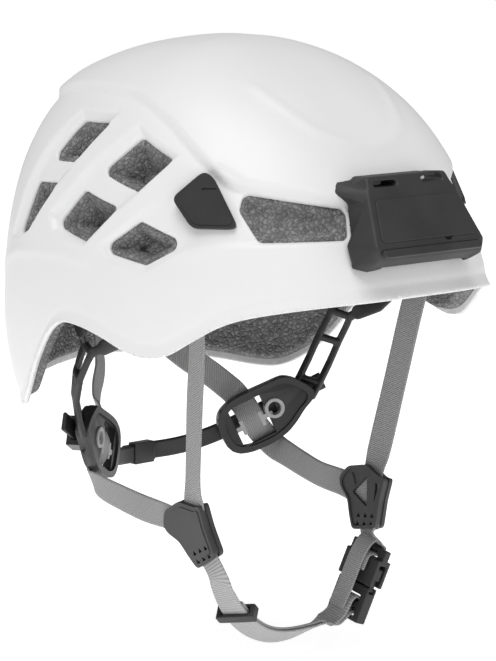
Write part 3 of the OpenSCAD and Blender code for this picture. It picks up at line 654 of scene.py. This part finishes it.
def make_shell():
    holes = [loop for v in VENTS.values() for loop in vent_loops(v, VENT_EXTRA)]
    rings = [loop for v in VENTS.values() for g in (0.22, 0.55, 1.0, 1.6, 2.4, 3.3, 4.2)
             for loop in vent_loops(v, g + VENT_EXTRA)]
    al = np.arange(0, 360, 0.9)
    lifts = np.array([0.3, 0.7, 1.2, 2, 3, 4.2, 5.4, 6.6, 8])
    rims = rows_along(al, knots_at(RIM, al), lifts / DEG_MM)
    steps = rows_along(al, knots_at(CROWN, al), np.arange(-2.6, 3.2, 0.55))
    al, be, tris = dome_sheet(lambda a: knots_at(RIM, a), holes, rings + rims + steps, 1.05)
    off = shell_relief(al, be)
    near = np.full(al.shape, FAR)
    for v in VENTS.values():
        near = np.minimum(near, np.maximum(vent_distance(v, al, be) - VENT_EXTRA, 0))
    above = (be - knots_at(RIM, al)) * DEG_MM
    drop = edge_round(near, 1.1) + edge_round(above, 1.0)
    outer = at(al, be, off - drop)
    inner = at(al, be, off - WALL - LIP * 0.7 * np.exp(-(above / LIP_WIDTH) ** 2))
    verts, faces = closed(outer, inner, tris)
    add_mesh("shell", verts, faces, SHELL, stands_for=["outer_shell"])


# Multipliers and seed of the whole-number hash that scatters the beads
HASH = (73856093, 19349663, 83492791)
JITTER = (1, 2654435761, 40503)
SEED = 7


def cells(points, size):
    """Distance to the nearest bead centre and to the next one."""
    p = np.asarray(points) / size
    base = np.floor(p).astype(np.int64)
    near = np.full((len(p), 2), FAR)
    for shift in np.ndindex(3, 3, 3):
        c = base + np.array(shift) - 1
        h = (c[:, 0] * HASH[0]) ^ (c[:, 1] * HASH[1]) ^ (c[:, 2] * HASH[2]) ^ SEED
        jit = np.stack([((h * m) >> 7) % 1024 / 1024 for m in JITTER], -1)
        d = np.linalg.norm(c + 0.12 + 0.76 * jit - p, axis=1)
        near = np.sort(np.concatenate([near, d[:, None]], axis=1), axis=1)[:, :2]
    return near[:, 0], near[:, 1]


def beads(points, size, height):
    first, second = cells(points, size)
    return height * (smooth((second - first) / 0.45) - 0.6)


def foam_inner(al, be):
    return -WALL - GAP - FOAM_RIM - (FOAM_THICK - FOAM_RIM) * smooth((be - knots_at(RIM, al)) / 30 + 0.02)


def make_foam():
    # the brow's vent is a blind pocket, so it has no hole and only the shallow rings
    through = [v for k, v in VENTS.items() if k != "brow"]
    holes = [loop for v in through for loop in vent_loops(v, 0, scale=0.42)]
    rings = [loop for v in VENTS.values() for g in np.arange(-7, 2.1, 0.9)
             if g > -3 or v is not VENTS["brow"]
             for loop in vent_loops(v, g, radius=7.4 if g < -3 else VENT_CORNER, step=0.9)]
    x, y = np.meshgrid(np.arange(15, 44, 0.4), np.arange(14, 27, 0.4))
    rings += [np.stack([s * x.ravel(), y.ravel()], -1) for s in (-1, 1)]
    al = np.arange(0, 360, 0.7)

    def rim_of(a):
        return knots_at(RIM, a) + 1.2

    rims = rows_along(al, rim_of(al), np.array([0.4, 1, 1.8, 3, 4.5, 6]) / DEG_MM)
    al, be, tris = dome_sheet(rim_of, holes, rings + rims, 1.5, top=FOAM_SPLIT)
    dip = np.zeros(al.shape)
    for key, v in VENTS.items():
        deep, slope = (4.2, 5.5) if key == "brow" else (11, 8)
        dip = np.maximum(dip, deep * smooth(-(vent_distance(v, al, be) - 0.6) / slope))
    above = (be - rim_of(al)) * DEG_MM
    base = -WALL - GAP - CROWN_STEP / 2 - channel_depth(al, be)
    level = base - dip - edge_round(above, 1.6)
    bump = beads(at(al, be, level), 2.4, 0.42)
    outer = at(al, be, level + bump * smooth(dip / 1.2))
    inner = at(al, be, foam_inner(al, be) + edge_round(above, 2.4))
    verts, faces = closed(outer, inner, tris)
    # The foam body's dark grey is painted shade, darker than the foam's own tone.
    foam = add_mesh("foam_body", verts, faces, SHADED_FOAM, stands_for=["foam_liner"])


make_shell()
make_foam()


# ---------- straps ----------
BODY_OF = {n: b for b, group in frame["record"]["behaviour"]["bodies"].items() for n in group}
WEB_WIDTH = 14
WEB_THICK = 1.3


def seat(origin, columns):
    """Frame of a small part: points in its own directions placed in the helmet."""
    return lambda pts: np.asarray(pts, float) @ np.array(columns, float) + np.asarray(origin, float)


# Seats of the left divider, the left adjuster plate and the buckle
LEAN = radians(10)
DIVIDER = seat((60.9, -31, -121), [(0, -1, 0), (sin(LEAN), 0, cos(LEAN)),
                                   (cos(LEAN), 0, -sin(LEAN))])
YAW, TILT = radians(32), radians(25)
CY, SY, CT, ST = cos(YAW), sin(YAW), cos(TILT), sin(TILT)
PLATE = seat((54, 48.6, -90.2), [(CT * CY, -CT * SY, ST), (-ST * CY, ST * SY, CT), (-SY, -CY, 0)])
BUCKLE_AT = np.array([49.1, -37.1, -163.4])
BUCKLE = seat(BUCKLE_AT, turned(9.75, 19.01, -0.65).T)
# The way the left divider faces
DIVIDER_FACE = (cos(LEAN), 0, -sin(LEAN))


def lerp(p, q, start, end, t):
    return (end - t) / (end - start) * p + (t - start) / (end - start) * q


def spline(points, step):
    """Smooth run through the points, with stations about step millimetres apart."""
    p = np.asarray(points, float)
    ends = np.concatenate([[2 * p[0] - p[1]], p, [2 * p[-1] - p[-2]]])
    out = []
    for i in range(len(p) - 1):
        a, b, c, d = ends[i:i + 4]
        # centripetal spacing keeps tight bends from looping
        gaps = [max(np.linalg.norm((q - s)[:3]), 1e-6) ** 0.5 for s, q in ((a, b), (b, c), (c, d))]
        t0, t1, t2, t3 = np.cumsum([0.0] + gaps)
        n = max(2, int(np.linalg.norm((c - b)[:3]) / step))
        for t in np.linspace(t1, t2, n, endpoint=False):
            a1, a2, a3 = lerp(a, b, t0, t1, t), lerp(b, c, t1, t2, t), lerp(c, d, t2, t3, t)
            out.append(lerp(lerp(a1, a2, t0, t2, t), lerp(a2, a3, t1, t3, t), t1, t2, t))
    out.append(p[-1])
    return np.array(out)


def ribbon(path, facing, width, thick, step=0.7, saw=0.12, teeth=None, stitches=()):
    """Tape along the path, its broad side turned to facing. Returns vertices, faces and (across, along).

    teeth is (from, to, pitch, half width, height); stitches are distances along the tape.
    """
    facing = [unit(f) for f in facing]
    run = spline(np.concatenate([np.asarray(path, float), facing], axis=1), step)
    p, f = run[:, :3], run[:, 3:]
    along = np.concatenate([[0], np.cumsum(np.linalg.norm(np.diff(p, axis=0), axis=1))])
    t = np.gradient(p, axis=0)
    t /= np.linalg.norm(t, axis=1)[:, None]
    f = f - (f * t).sum(1)[:, None] * t
    f /= np.linalg.norm(f, axis=1)[:, None]
    side = np.cross(t, f)
    cols = int(width / 0.7) + 1
    x = np.linspace(-1, 1, cols) * width / 2
    h = thick / 2 * (1 - 0.55 * smooth((np.abs(x) - width / 2 + 0.7) / 0.7))
    section = [(a, b) for a, b in zip(x, h)] + [(a, -b) for a, b in zip(x[::-1], h[::-1])]
    verts, uv = [], []
    m = len(section)
    for a, b in section:
        edge = np.sign(a) * (abs(a) > width / 2 - 0.1) * saw * np.sin(2 * pi * along / 1.4)
        lift = np.zeros(len(p))
        if teeth and b > 0 and abs(a) < teeth[3]:
            inside = (along > teeth[0]) & (along < teeth[1])
            lift = teeth[4] * inside * smooth(1.2 - 2.4 * np.abs((along / teeth[2]) % 1 - 0.5))
        for c in stitches:
            near = np.exp(-((along - c) / 0.7) ** 2)
            lift = lift - np.sign(b) * 0.22 * near * (0.5 + 0.5 * cos(2 * pi * a / 2.1))
        verts.append(p + side * (a + edge)[:, None] + f * (b + lift)[:, None])
        uv.append(np.stack([np.full(len(p), a), along], -1))
    verts = np.stack(verts, 1).reshape(-1, 3)
    uv = np.stack(uv, 1).reshape(-1, 2)
    faces = []
    for i in range(len(p) - 1):
        for j in range(m):
            k = (j + 1) % m
            faces.append((i * m + j, i * m + k, (i + 1) * m + k, (i + 1) * m + j))
    last = (len(p) - 1) * m
    for base, flip in ((0, False), (last, True)):
        for j in range(cols - 1):
            q = (base + j, base + m - 1 - j, base + m - 2 - j, base + j + 1)
            faces.append(q if not flip else q[::-1])
    return verts, faces, uv


def flipped(data):
    """The same tape on the other side of the helmet."""
    verts, faces, uv = data
    return mirrored(verts), [q[::-1] for q in faces], uv


def strap_piece(name, data, material, node, flip=False):
    verts, faces, uv = flipped(data) if flip else data
    add_mesh(name, verts, faces, material, BODY_OF[node], [node], uv)


def d_point(x, y):
    return DIVIDER([(x, y, 0)])[0]


def in_buckle(pairs):
    return list(BUCKLE([(a, 0, b) for a, b in pairs]))


def buckle_turn(pairs):
    return [in_buckle([pair])[0] - BUCKLE_AT for pair in pairs]


def make_webbing():
    front = [(84, -53, 18), (81, -52, 4), (75.5, -49.5, -17), (70.5, -42, -58), (65.4, -35, -97),
             d_point(2.8, 16), d_point(1.6, 4), d_point(0, -7)]
    front_face = [(1, 0.16, 0)] * 5 + [DIVIDER_FACE] * 3
    seats = [(4.6, -19, -1.7), (3.2, -15.6, -3.6), (2, -12, -3.7), (0.8, -8, -2.3), (-0.2, -4, -0.2),
             (-0.8, 0, 0.7), (-1.2, 4, 0.6), (-1.4, 8, -1.1), (-1.8, 11.6, -3.3), (-2.6, 15, -3.8),
             (-3.6, 19, -3.7)]
    rear = ([d_point(-8.5, 2.6), d_point(-18, 4.6), (62.6, 6, -114.6), (64.2, 22, -111.4), (65.6, 36, -108)]
            + list(PLATE(seats)) + [(45.5, 63.5, -71.2), (40, 70.5, -64.5), (31, 78.5, -56.3), (24, 87, -48),
                                    (19.4, 94.6, -42.4), (15.8, 100.8, -37.7), (14.4, 104.5, -30.8),
                                    (13.7, 106.4, -27.3)])
    turn = np.array([[0, 3], [22, 21.8], [36, 36], [43, 58], [62, 60], [107, 82], [120, 84]])
    rear_face = []
    for p in rear:
        a = radians(float(np.interp(max(p[1], 0), turn[:, 0], turn[:, 1])))
        facing = (cos(a), sin(a), 0) if p[1] < 99 else (0.1245, 0.8855, -0.4478)
        rear_face.append(DIVIDER_FACE if p[1] < -5 else facing)
    runs = {"front_webbing": ribbon(front, front_face, WEB_WIDTH, WEB_THICK),
            "rear_webbing": ribbon(rear, rear_face, WEB_WIDTH, WEB_THICK, step=0.6)}
    for key, data in runs.items():
        strap_piece(key + "_l", data, WEBBING, key + "_left")
        strap_piece(key + "_r", data, WEBBING, key + "_right", True)


def make_chin_strap():
    hidden = d_point(4.5, -8.5) * [-1, 1, 1]
    right = d_point(9.6, -14.8) * [-1, 1, 1]
    path = [hidden, right, (-56.6, -44.4, -143.4), (-52.6, -42.8, -150), (-46.5, -41, -158.6),
            (-39.5, -38.8, -166), (-30, -36, -173.6), (-18, -33.4, -180.6), (-5, -31.8, -184.9),
            (6, -31.4, -186), (16.5, -31.4, -185.4), (25.6, -32.2, -183.8)]
    face = [(0.985, 0, 0.17), (0.985, 0, 0.17), (0.95, 0.08, 0.3), (0.88, 0.18, 0.44), (0.8, 0.3, 0.6),
            (0.7, 0.42, 0.72), (0.58, 0.5, 0.82), (0.4, 0.55, 0.85), (0.15, 0.6, 0.85),
            (-0.1, 0.58, 0.85), (-0.25, 0.5, 0.85), (-0.4, 0.35, 0.85)]
    ladder = [(-9.5, -24), (-6.2, -20.6), (-4.4, -17.6), (-2.4, -16.2), (3.2, -15), (5, -13.8), (5.4, -11.6),
              (5, -9.4), (3.2, -8.4), (-2.6, -7.4), (-4.8, -8), (-6, -10), (-6.4, -14), (-7.2, -18),
              (-9.4, -21.4), (-13, -24.6)]
    turn = [(-0.6, 0.8), (-0.9, 0.5), (-0.8, 0.6), (-0.3, 1), (-0.3, 1), (-0.8, 0.6), (-1, 0), (-0.8, -0.6),
            (-0.3, -1), (0.4, -1), (0.9, -0.6), (1, -0.2), (1, 0), (1, -0.2), (0.8, -0.6), (0.7, -0.8)]
    # the tail comes back on top of the strap
    back = range(len(path) - 1, 3, -1)
    run = path + in_buckle(ladder) + [path[i] + 1.7 * unit(face[i]) for i in back]
    facing = face + buckle_turn(turn) + [-np.array(face[i]) for i in back]
    verts, faces, uv = ribbon(run, facing, WEB_WIDTH, WEB_THICK)
    obj = add_mesh("chin_tape", verts, faces, CHIN_TAPE, None, ["chin_webbing"], uv)
    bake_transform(obj)

    loop = [(0.2, 22.6), (3.6, 21.6), (4.2, 19.6), (3.4, 17.4), (0, 16.6), (-3.2, 16.4), (-5.4, 15.2),
            (-6, 12), (-6.2, 7)]
    loop_turn = [(0.6, 1), (1, 0.6), (1, -0.1), (0.5, -1), (0.05, -1), (0.2, -1), (0.8, -0.5), (1, 0),
                 (1, 0)]
    run = [d_point(4.8, -12), d_point(5.6, -18)] + in_buckle(loop)
    facing = [DIVIDER_FACE] * 2 + buckle_turn(loop_turn)
    strap_piece("buckle_loop", ribbon(run, facing, WEB_WIDTH - 1, WEB_THICK), WEBBING,
                "buckle_webbing")
    flap = [(-3.9, 24.4), (-5.8, 22.2), (-7.4, 18), (-8.3, 12), (-8.4, 3), (-8.4, -4), (-8.8, -10),
            (-9.6, -15)]
    data = ribbon(in_buckle(flap), [(1, 0, 0)] * len(flap), WEB_WIDTH - 3.5, WEB_THICK,
                  stitches=(2.2, 36.5))
    strap_piece("cheek_flap", data, WEBBING, "buckle_guard")


def make_nape():
    out = PLATE([(0, 0, -1)])[0] - PLATE([(0, 0, 0)])[0]
    start = list(PLATE([(x, 1.7, -7.6) for x in (44, 30, 15, 0, -12)]))
    face = [out] * 5 + [(0.53, 0.85, 0), (0.5, 0.86, 0), (0.45, 0.9, 0), (0.4, 0.92, 0), (0.25, 0.97, 0),
                        (0.05, 1, 0), (0, 1, 0)]
    left = start + [(43.6, 64.1, -96.2), (36, 69, -99.6), (28, 73.9, -102.4), (21, 77.8, -104),
                    (14, 80.8, -104.8), (7, 82.3, -105), (-12, 82.4, -105)]
    right = start + [(43.6, 64.1, -96.2), (36, 68.9, -99.6), (28, 73.2, -102.4), (21, 76.4, -104),
                     (14, 78.9, -104.8), (7, 79.8, -105), (-8, 79.8, -105)]
    for name, run, node in (("nape_band_l", left, "nape_strap_left"),
                            ("nape_band_r", right, "nape_strap_right")):
        data = ribbon(run, face, 9.5, 2.0, step=0.35, saw=0, teeth=(1.5, 48, 2.2, 3.1, 0.45))
        strap_piece(name, data, SATIN, node, run is right)


# ---------- moulded parts ----------
def moulded(node, material, slot, width, remesh=0.0, name=None, corner=0.0, size=(1, 1, 1), shift=0.0):
    """Shown part from a node's solid, with its edges rounded over as a moulding's are.

    width rounds the edges, or softens the whole where remesh gives a voxel size. corner rounds the
    broad face's corners, size scales the part about its middle and shift sinks it.
    """
    bm = clean_solid(node)
    broad = max(bm.faces, key=lambda f: f.calc_area()).normal.copy()
    if corner:
        upright = [e for e in bm.edges
                   if abs((e.verts[0].co - e.verts[1].co).normalized().dot(broad)) > 0.99]
        bmesh.ops.bevel(bm, geom=upright, offset=corner * MM, segments=5, profile=0.5, affect="EDGES",
                        clamp_overlap=True)
    low, high = (np.array(c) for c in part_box(node))
    middle = Vector((low + high) / 2)
    for v in bm.verts:
        v.co = middle + Vector([a * b for a, b in zip(v.co - middle, size)]) - broad * shift * MM
    mesh = bpy.data.meshes.new((name or node) + "_look")
    bm.to_mesh(mesh)
    bm.free()
    show_smooth(mesh)
    mesh.materials.append(material)
    obj = new_object((name or node) + "_look", mesh)
    if remesh:
        m = obj.modifiers.new("skin", "REMESH")
        m.mode = "VOXEL"
        m.voxel_size = remesh * MM
        m.use_smooth_shade = True
        relax = obj.modifiers.new("relax", "SMOOTH")
        relax.factor = 0.5
        relax.iterations = int(width * 10)
    elif width:
        bevel(obj, width, 32)
    finish_piece(obj, BODY_OF[node], [node])
    return obj


def soft_loop(corners, radius, steps=6):
    """Closed outline with each corner cut to a smooth curve."""
    p = np.asarray(corners, float)
    out = []
    for i in range(len(p)):
        a, b, c = p[i - 1], p[i], p[(i + 1) % len(p)]
        r0 = min(radius, 0.48 * np.linalg.norm(b - a))
        r1 = min(radius, 0.48 * np.linalg.norm(c - b))
        s, e = b + unit(a - b) * r0, b + unit(c - b) * r1
        for t in np.linspace(0, 1, steps):
            out.append((1 - t) ** 2 * s + 2 * t * (1 - t) * b + t * t * e)
    return np.array(out)


def ring_points(x, y, r, n=40):
    a = np.linspace(0, 2 * pi, n, endpoint=False)
    return np.stack([x + r * np.cos(a), y + r * np.sin(a)], -1)


def panel(outer, holes, lo, hi):
    """Flat plate with holes, between two heights. Returns vertices and faces."""
    loops = [outer] + list(holes)
    pts, tris = triangles(np.concatenate(loops), loops)
    mid = pts[tris].mean(axis=1)
    good = outline_distance(outer, mid) < 0
    for hole in holes:
        good &= outline_distance(hole, mid) > 0
    tris = tris[good]
    turn_alike(pts, tris)
    top = np.concatenate([pts, np.full((len(pts), 1), hi)], axis=1)
    low = np.concatenate([pts, np.full((len(pts), 1), lo)], axis=1)
    return closed(top, low, tris)


def panel_piece(name, parts, seating, material, node, width, stands=True, flip=False):
    """Joins flat plates in one part's frame into a piece with rounded edges."""
    verts, faces = [], []
    for v, f in parts:
        base = sum(len(q) for q in verts)
        verts.append(v)
        faces += [tuple(int(i) + base for i in q) for q in f]
    verts = seating(np.concatenate(verts))
    if flip:
        verts = mirrored(verts)
    obj = add_mesh(name, verts, faces, material, BODY_OF[node], [node] if stands else [])
    bm = bmesh.new()
    bm.from_mesh(obj.data)
    bmesh.ops.dissolve_limit(bm, angle_limit=radians(0.5), verts=bm.verts, edges=bm.edges)
    bmesh.ops.recalc_face_normals(bm, faces=bm.faces)
    bm.to_mesh(obj.data)
    bm.free()
    show_smooth(obj.data)
    bevel(obj, width, 40)


DIVIDER_OUTLINE = [(-6.3, 16), (6, 14.8), (9.5, 16.2), (11.8, 4.5), (16.6, -9.6), (2, -18.6), (-3.2, -13.5),
                   (-9.5, -6), (-18, -2.5), (-20.3, 1), (-17.7, 9)]


def make_dividers():
    def ring(scale, radius):
        return soft_loop(np.array(DIVIDER_OUTLINE) * scale, radius)

    outline = ring(1, 2.6)
    core, rim, inner = ring(0.95, 2.4), ring(0.9, 2.4), ring(0.84, 2.2)
    holes = []
    for i, j in np.ndindex(3, 2):
        x, y = 3.5 + i * 4.4 - j * 1.6, -14.4 + i * 2.2 + j * 4.2
        holes.append(soft_loop(ring_points(x, y, 1.7, 3), 0.5, 4))
    window = soft_loop([(-3, 11), (5, -3.6), (-8.6, -1.6)], 1.4)
    slit = soft_loop([(4, 11), (7, 10.4), (8.4, 1)], 0.8)
    # the photo shows the left divider turned a little about its face
    for side, spin in (("left", -20), ("right", 0)):
        c, s = cos(radians(spin)), sin(radians(spin))

        def seating(pts):
            p = np.asarray(pts, float)
            return DIVIDER(np.stack([c * p[:, 0] - s * p[:, 1], s * p[:, 0] + c * p[:, 1], p[:, 2]], -1))

        flip = side == "right"
        # the tape that shows through the window of the back
        tape = seating([(-1.5, 13, -0.3), (-1.5, 4, -0.3), (-1.5, -6.5, -0.3)])
        data = ribbon(tape, [DIVIDER_FACE] * 3, 15.5, WEB_THICK)
        verts, faces, uv = flipped(data) if flip else data
        add_mesh("divider_tape_" + side, verts, faces, WEBBING, ROOT, (), uv)
        face = [panel(outline, holes, 0.9, 3.2), panel(inner, holes, 3.1, 3.6),
                panel(core, [window, slit] + holes, -1.2, 1.0)]
        panel_piece("divider_face_" + side, face, seating, GREY_PLASTIC, "divider_" + side,
                    0.5, flip=flip)
        back = [panel(outline, [window, slit] + holes, -2.9, -1.1), panel(outline, [rim], -3.6, -2.8),
                panel(soft_loop([(-14.5, 6), (-13, 7.5), (-8, 3), (-9.5, 1.5)], 0.6), [], -3.6, -2.8)]
        panel_piece("divider_back_" + side, back, seating, GREY_PLASTIC, "divider_cover_" + side,
                    0.3, flip=flip)


def make_adjusters():
    outline = [(-20, -6), (-18.5, -9.5), (-15, -12.6), (-8, -14.6), (4, -15.2), (14, -13.4), (21, -10),
               (27, -6), (34, -3), (36.5, 1), (34, 6), (29, 12.5), (24, 16), (0, 17), (-8, 16.6),
               (-15.5, 14), (-19, 10), (-20.5, 4)]
    outer = soft_loop(outline, 3)
    inner = soft_loop([(x * 0.86 + 1.1, y * 0.8 + 0.2) for x, y in outline], 3)
    hooks = [[(-16, -1.6), (-8.6, -1.6), (-8.6, -4.6), (-6.2, -4.6), (-6.2, 4.2), (-8.6, 4.2), (-8.6, 1.2),
              (-16, 1.2)],
             [(10.5, -1.3), (5.2, -1.3), (5.2, -4.6), (2.8, -4.6), (2.8, 4.2), (5.2, 4.2), (5.2, 1.5),
              (10.5, 1.5)]]
    ring = [panel(ring_points(12.5, 2, 5.6), [ring_points(12.5, 2, 3.6)], -3.0, 2.8)]
    ring += [panel(soft_loop(h, 0.8), [], 0.2, 1.6) for h in hooks]
    rim = [panel(outer, [inner], -4.0, -1.7), panel(outer, [inner], 1.7, 3.1)]
    for x in np.arange(10, 24, 2.2):
        rib = soft_loop([(x, -9.6), (x + 1.1, -9.6), (x + 1.1, -6.4), (x, -6.4)], 0.3)
        rim.append(panel(rib, [], -2.9, -1.7))
    for side in SIDES:
        flip = side == "right"
        moulded("adjuster_plate_" + side, SATIN, "plate_plastic", 0.8, name="plate_base_" + side)
        panel_piece("plate_rim_" + side, rim, PLATE, SATIN, "adjuster_plate_" + side, 0.55,
                    stands=False, flip=flip)
        panel_piece("plate_ring_" + side, ring, PLATE, PALE_PLASTIC, "adjuster_plate_" + side,
                    0.4, stands=False, flip=flip)


def clip_cover(node, sink, radius, deep):
    """Rounded cover of a lamp clip, on its broad outer face, with a finger slot pressed into it."""
    bm = clean_solid(node)
    out = [f for f in bm.faces if f.normal.dot(f.calc_center_median()) > 0]
    broad = max(out, key=lambda f: f.calc_area())
    pts = np.array([v.co for v in broad.verts]) / MM
    normal = np.array(broad.normal)
    bm.free()
    middle = pts.mean(axis=0)
    x = unit(np.cross((0, 0, 1), normal))
    y = np.cross(normal, x)
    flat = (pts - middle) @ np.array([x, y]).T
    loop = soft_loop(flat, radius)
    rim = soft_loop(flat * 0.86, radius)
    top = flat[:, 1].max()
    slot_at = np.array([0.0, 0.45 * top])
    slot_corners = np.array([(-3.4, -0.55), (3.4, -0.55), (3.4, 0.55), (-3.4, 0.55)])
    slot_loop = soft_loop(slot_corners + slot_at, 0.5)
    seating = seat(middle - normal * sink, [x, y, normal])
    parts = [panel(loop, [], -deep, -0.4), panel(loop, [slot_loop], -0.5, 0.0),
             panel(rim, [slot_loop], -0.1, 0.45)]
    panel_piece(node + "_cover", parts, seating, SATIN, node, 0.45, stands=False)


def make_small_parts():
    extras = {"nape_sleeve": {"size": (0.85, 0.8, 0.93)}, "strap_keeper": {"corner": 1.2},
              "rear_clip": {"size": (0.93, 0.93, 0.93), "shift": 0.8}}
    for side in SIDES:
        extras["lamp_clip_" + side] = {"size": (0.9, 0.9, 0.9), "shift": 3.2}
        extras["strap_anchor_front_" + side] = {"corner": 1.5}
    black, band, buckle = "black_plastic", "headband_plastic", "buckle_plastic"
    # material, slot, edge rounding and voxel size of every moulded node
    pairs = {
        "lamp_clip_": (SATIN, black, 0.7, 0),
        "lamp_clip_base_": (SATIN, black, 0.4, 0),
        "strap_anchor_front_": (SOFT_BLACK, black, 1.0, 0),
        "strap_anchor_rear_": (SOFT_BLACK, black, 1.0, 0),
        "headband_arm_": (SATIN, band, 0.5, 0.45),
        "arm_pin_front_": (STEEL_GREY, black, 0.4, 0),
        "arm_pin_rear_": (STEEL_GREY, black, 0.4, 0),
        "adjuster_button_": (GREY_PLASTIC, "plate_plastic", 0.5, 0),
    }
    table = {
        "lamp_plate": (SOFT_BLACK, black, 1.8, 0.6),
        "nape_sleeve": (SATIN, band, 0.5, 0),
        "strap_keeper": (SOFT_BLACK, buckle, 0.5, 0),
        "buckle_socket": (SOFT_BLACK, buckle, 0.9, 0.4),
        "buckle_plug": (SOFT_BLACK, buckle, 0.8, 0.4),
        "rear_clip": (SATIN, black, 0.7, 0),
        "buckle_prong_front": (SOFT_BLACK, buckle, 0.5, 0),
        "buckle_prong_rear": (SOFT_BLACK, buckle, 0.5, 0),
        "rear_clip_base": (SATIN, black, 0.4, 0),
    }
    for side in SIDES:
        table.update({node + side: how for node, how in pairs.items()})
    for node, (material, slot, width, remesh) in table.items():
        moulded(node, material, slot, width, remesh, **extras.get(node, {}))
    for side in SIDES:
        clip_cover("lamp_clip_" + side, 2.9, 3.6, 2.4)
    clip_cover("rear_clip", -0.3, 3.0, 1.2)
    # raised field on the face of the lamp plate, with a step round it
    up = unit((0, 14.1, 26))
    face = seat((0, -134.4, 28), [(1, 0, 0), up, np.cross((1, 0, 0), up)])
    field = soft_loop([(-32.5, 3), (32.5, 3), (27, 25), (-27, 25)], 3)
    ledge = soft_loop([(-33, -4.6), (33, -4.6), (34, -0.6), (-34, -0.6)], 1.2)
    for name, loop, lo, hi, width in (("field", field, -0.9, 0.55, 0.5), ("ledge", ledge, -1.4, 0.7, 0.6)):
        panel_piece("lamp_plate_" + name, [panel(loop, [], lo, hi)], face, SOFT_BLACK, "lamp_plate",
                    width, stands=False)
    moulded("crown_liner", CROWN_FOAM, "crown_foam", 0)
    for node in ("forehead_pad", "crown_pad"):
        moulded(node, PAD, "pad", 1.2, 0.8)


make_webbing()
make_chin_strap()
make_nape()
make_dividers()
make_adjusters()
make_small_parts()


# ---------- camera, lights, floor ----------
# The photo's view: angles in degrees, lens and sensor in mm, the rest in metres
VIEW_AZIMUTH = 42.65
VIEW_TILT = 8.74
LENS = 150.2
SENSOR = 36
VIEW_RIGHT = 0.0029
VIEW_DOWN = 0.0288
VIEW_DISTANCE = 1.423
FLOOR_HALF = 4000
FLOOR_DROP = 0.012
# Strength of the backdrop as light and as the camera sees it
AMBIENT = 0.35
BACKDROP = 1.0


def make_camera():
    azimuth, tilt = radians(VIEW_AZIMUTH), radians(VIEW_TILT)
    side = Vector((cos(azimuth), -sin(azimuth), 0))
    look = Vector((sin(azimuth) * cos(tilt), cos(azimuth) * cos(tilt), -sin(tilt)))
    up = side.cross(look)
    data = bpy.data.cameras.new("camera")
    data.lens = LENS
    data.sensor_width = SENSOR
    data.clip_end = 20
    cam = new_object("camera", data)
    spot = side * VIEW_RIGHT - up * VIEW_DOWN - look * VIEW_DISTANCE
    basis = Matrix((side, up, -look)).transposed().to_4x4()
    cam.matrix_world = Matrix.Translation(spot) @ basis
    bpy.context.scene.camera = cam


def make_light(name, spot, target, size, power):
    """Area light in metres and watts."""
    data = bpy.data.lights.new(name, "AREA")
    data.shape = "RECTANGLE"
    data.size, data.size_y = size
    data.energy = power
    lamp = new_object(name, data)
    lamp.location = spot
    lamp.rotation_euler = (Vector(target) - Vector(spot)).to_track_quat("-Z", "Y").to_euler()


def make_stage():
    look = Look("studio_floor", rough=0.7)
    # The floor glows: painted light, weaker under the helmet and stronger away from it, so the floor's
    # shading fades into the white backdrop.
    look.colour(look.ramp(look.noise(2, 2), 0.88, 0.9))
    floor_glow_fade = look.node("ShaderNodeTexGradient", gradient_type="SPHERICAL",
                       Vector=look.coords(scale=(0.4, 0.4, 0.4)))
    look.bsdf.inputs["Emission Color"].default_value = (1, 1, 1, 1)
    look.between(floor_glow_fade.outputs["Fac"], 0.9, 0.72, "Emission Strength")
    look.bump(look.noise(60, 2), 0.2, 0.2)
    verts = [(x * FLOOR_HALF, y * FLOOR_HALF, 0) for x, y in ((-1, -1), (1, -1), (1, 1), (-1, 1))]
    floor = add_mesh("floor", verts, [(0, 1, 2, 3)], look.mat, body=None)
    floor.location.z = cad_box[0][2] - FLOOR_DROP
    world = bpy.data.worlds.new("studio")
    world.use_nodes = True
    tree = world.node_tree
    tree.nodes["Background"].inputs["Color"].default_value = (1, 1, 1, 1)
    path = tree.nodes.new("ShaderNodeLightPath")
    strength = tree.nodes.new("ShaderNodeMapRange")
    strength.inputs["To Min"].default_value = AMBIENT
    strength.inputs["To Max"].default_value = BACKDROP
    tree.links.new(path.outputs["Is Camera Ray"], strength.inputs["Value"])
    tree.links.new(strength.outputs["Result"], tree.nodes["Background"].inputs["Strength"])
    bpy.context.scene.world = world
    make_light("top", (-0.5, -0.35, 1.5), (0, 0, 0.05), (1.2, 1.2), 16)
    make_light("front", (-0.2, -1.7, 0.6), (0, 0, 0), (1.2, 1.0), 1.6)
    make_light("left", (-1.6, 0.3, 0.5), (0, 0, 0), (0.8, 1.2), 0.3)
    bpy.context.scene.view_settings.view_transform = "Standard"


make_camera()
make_stage()
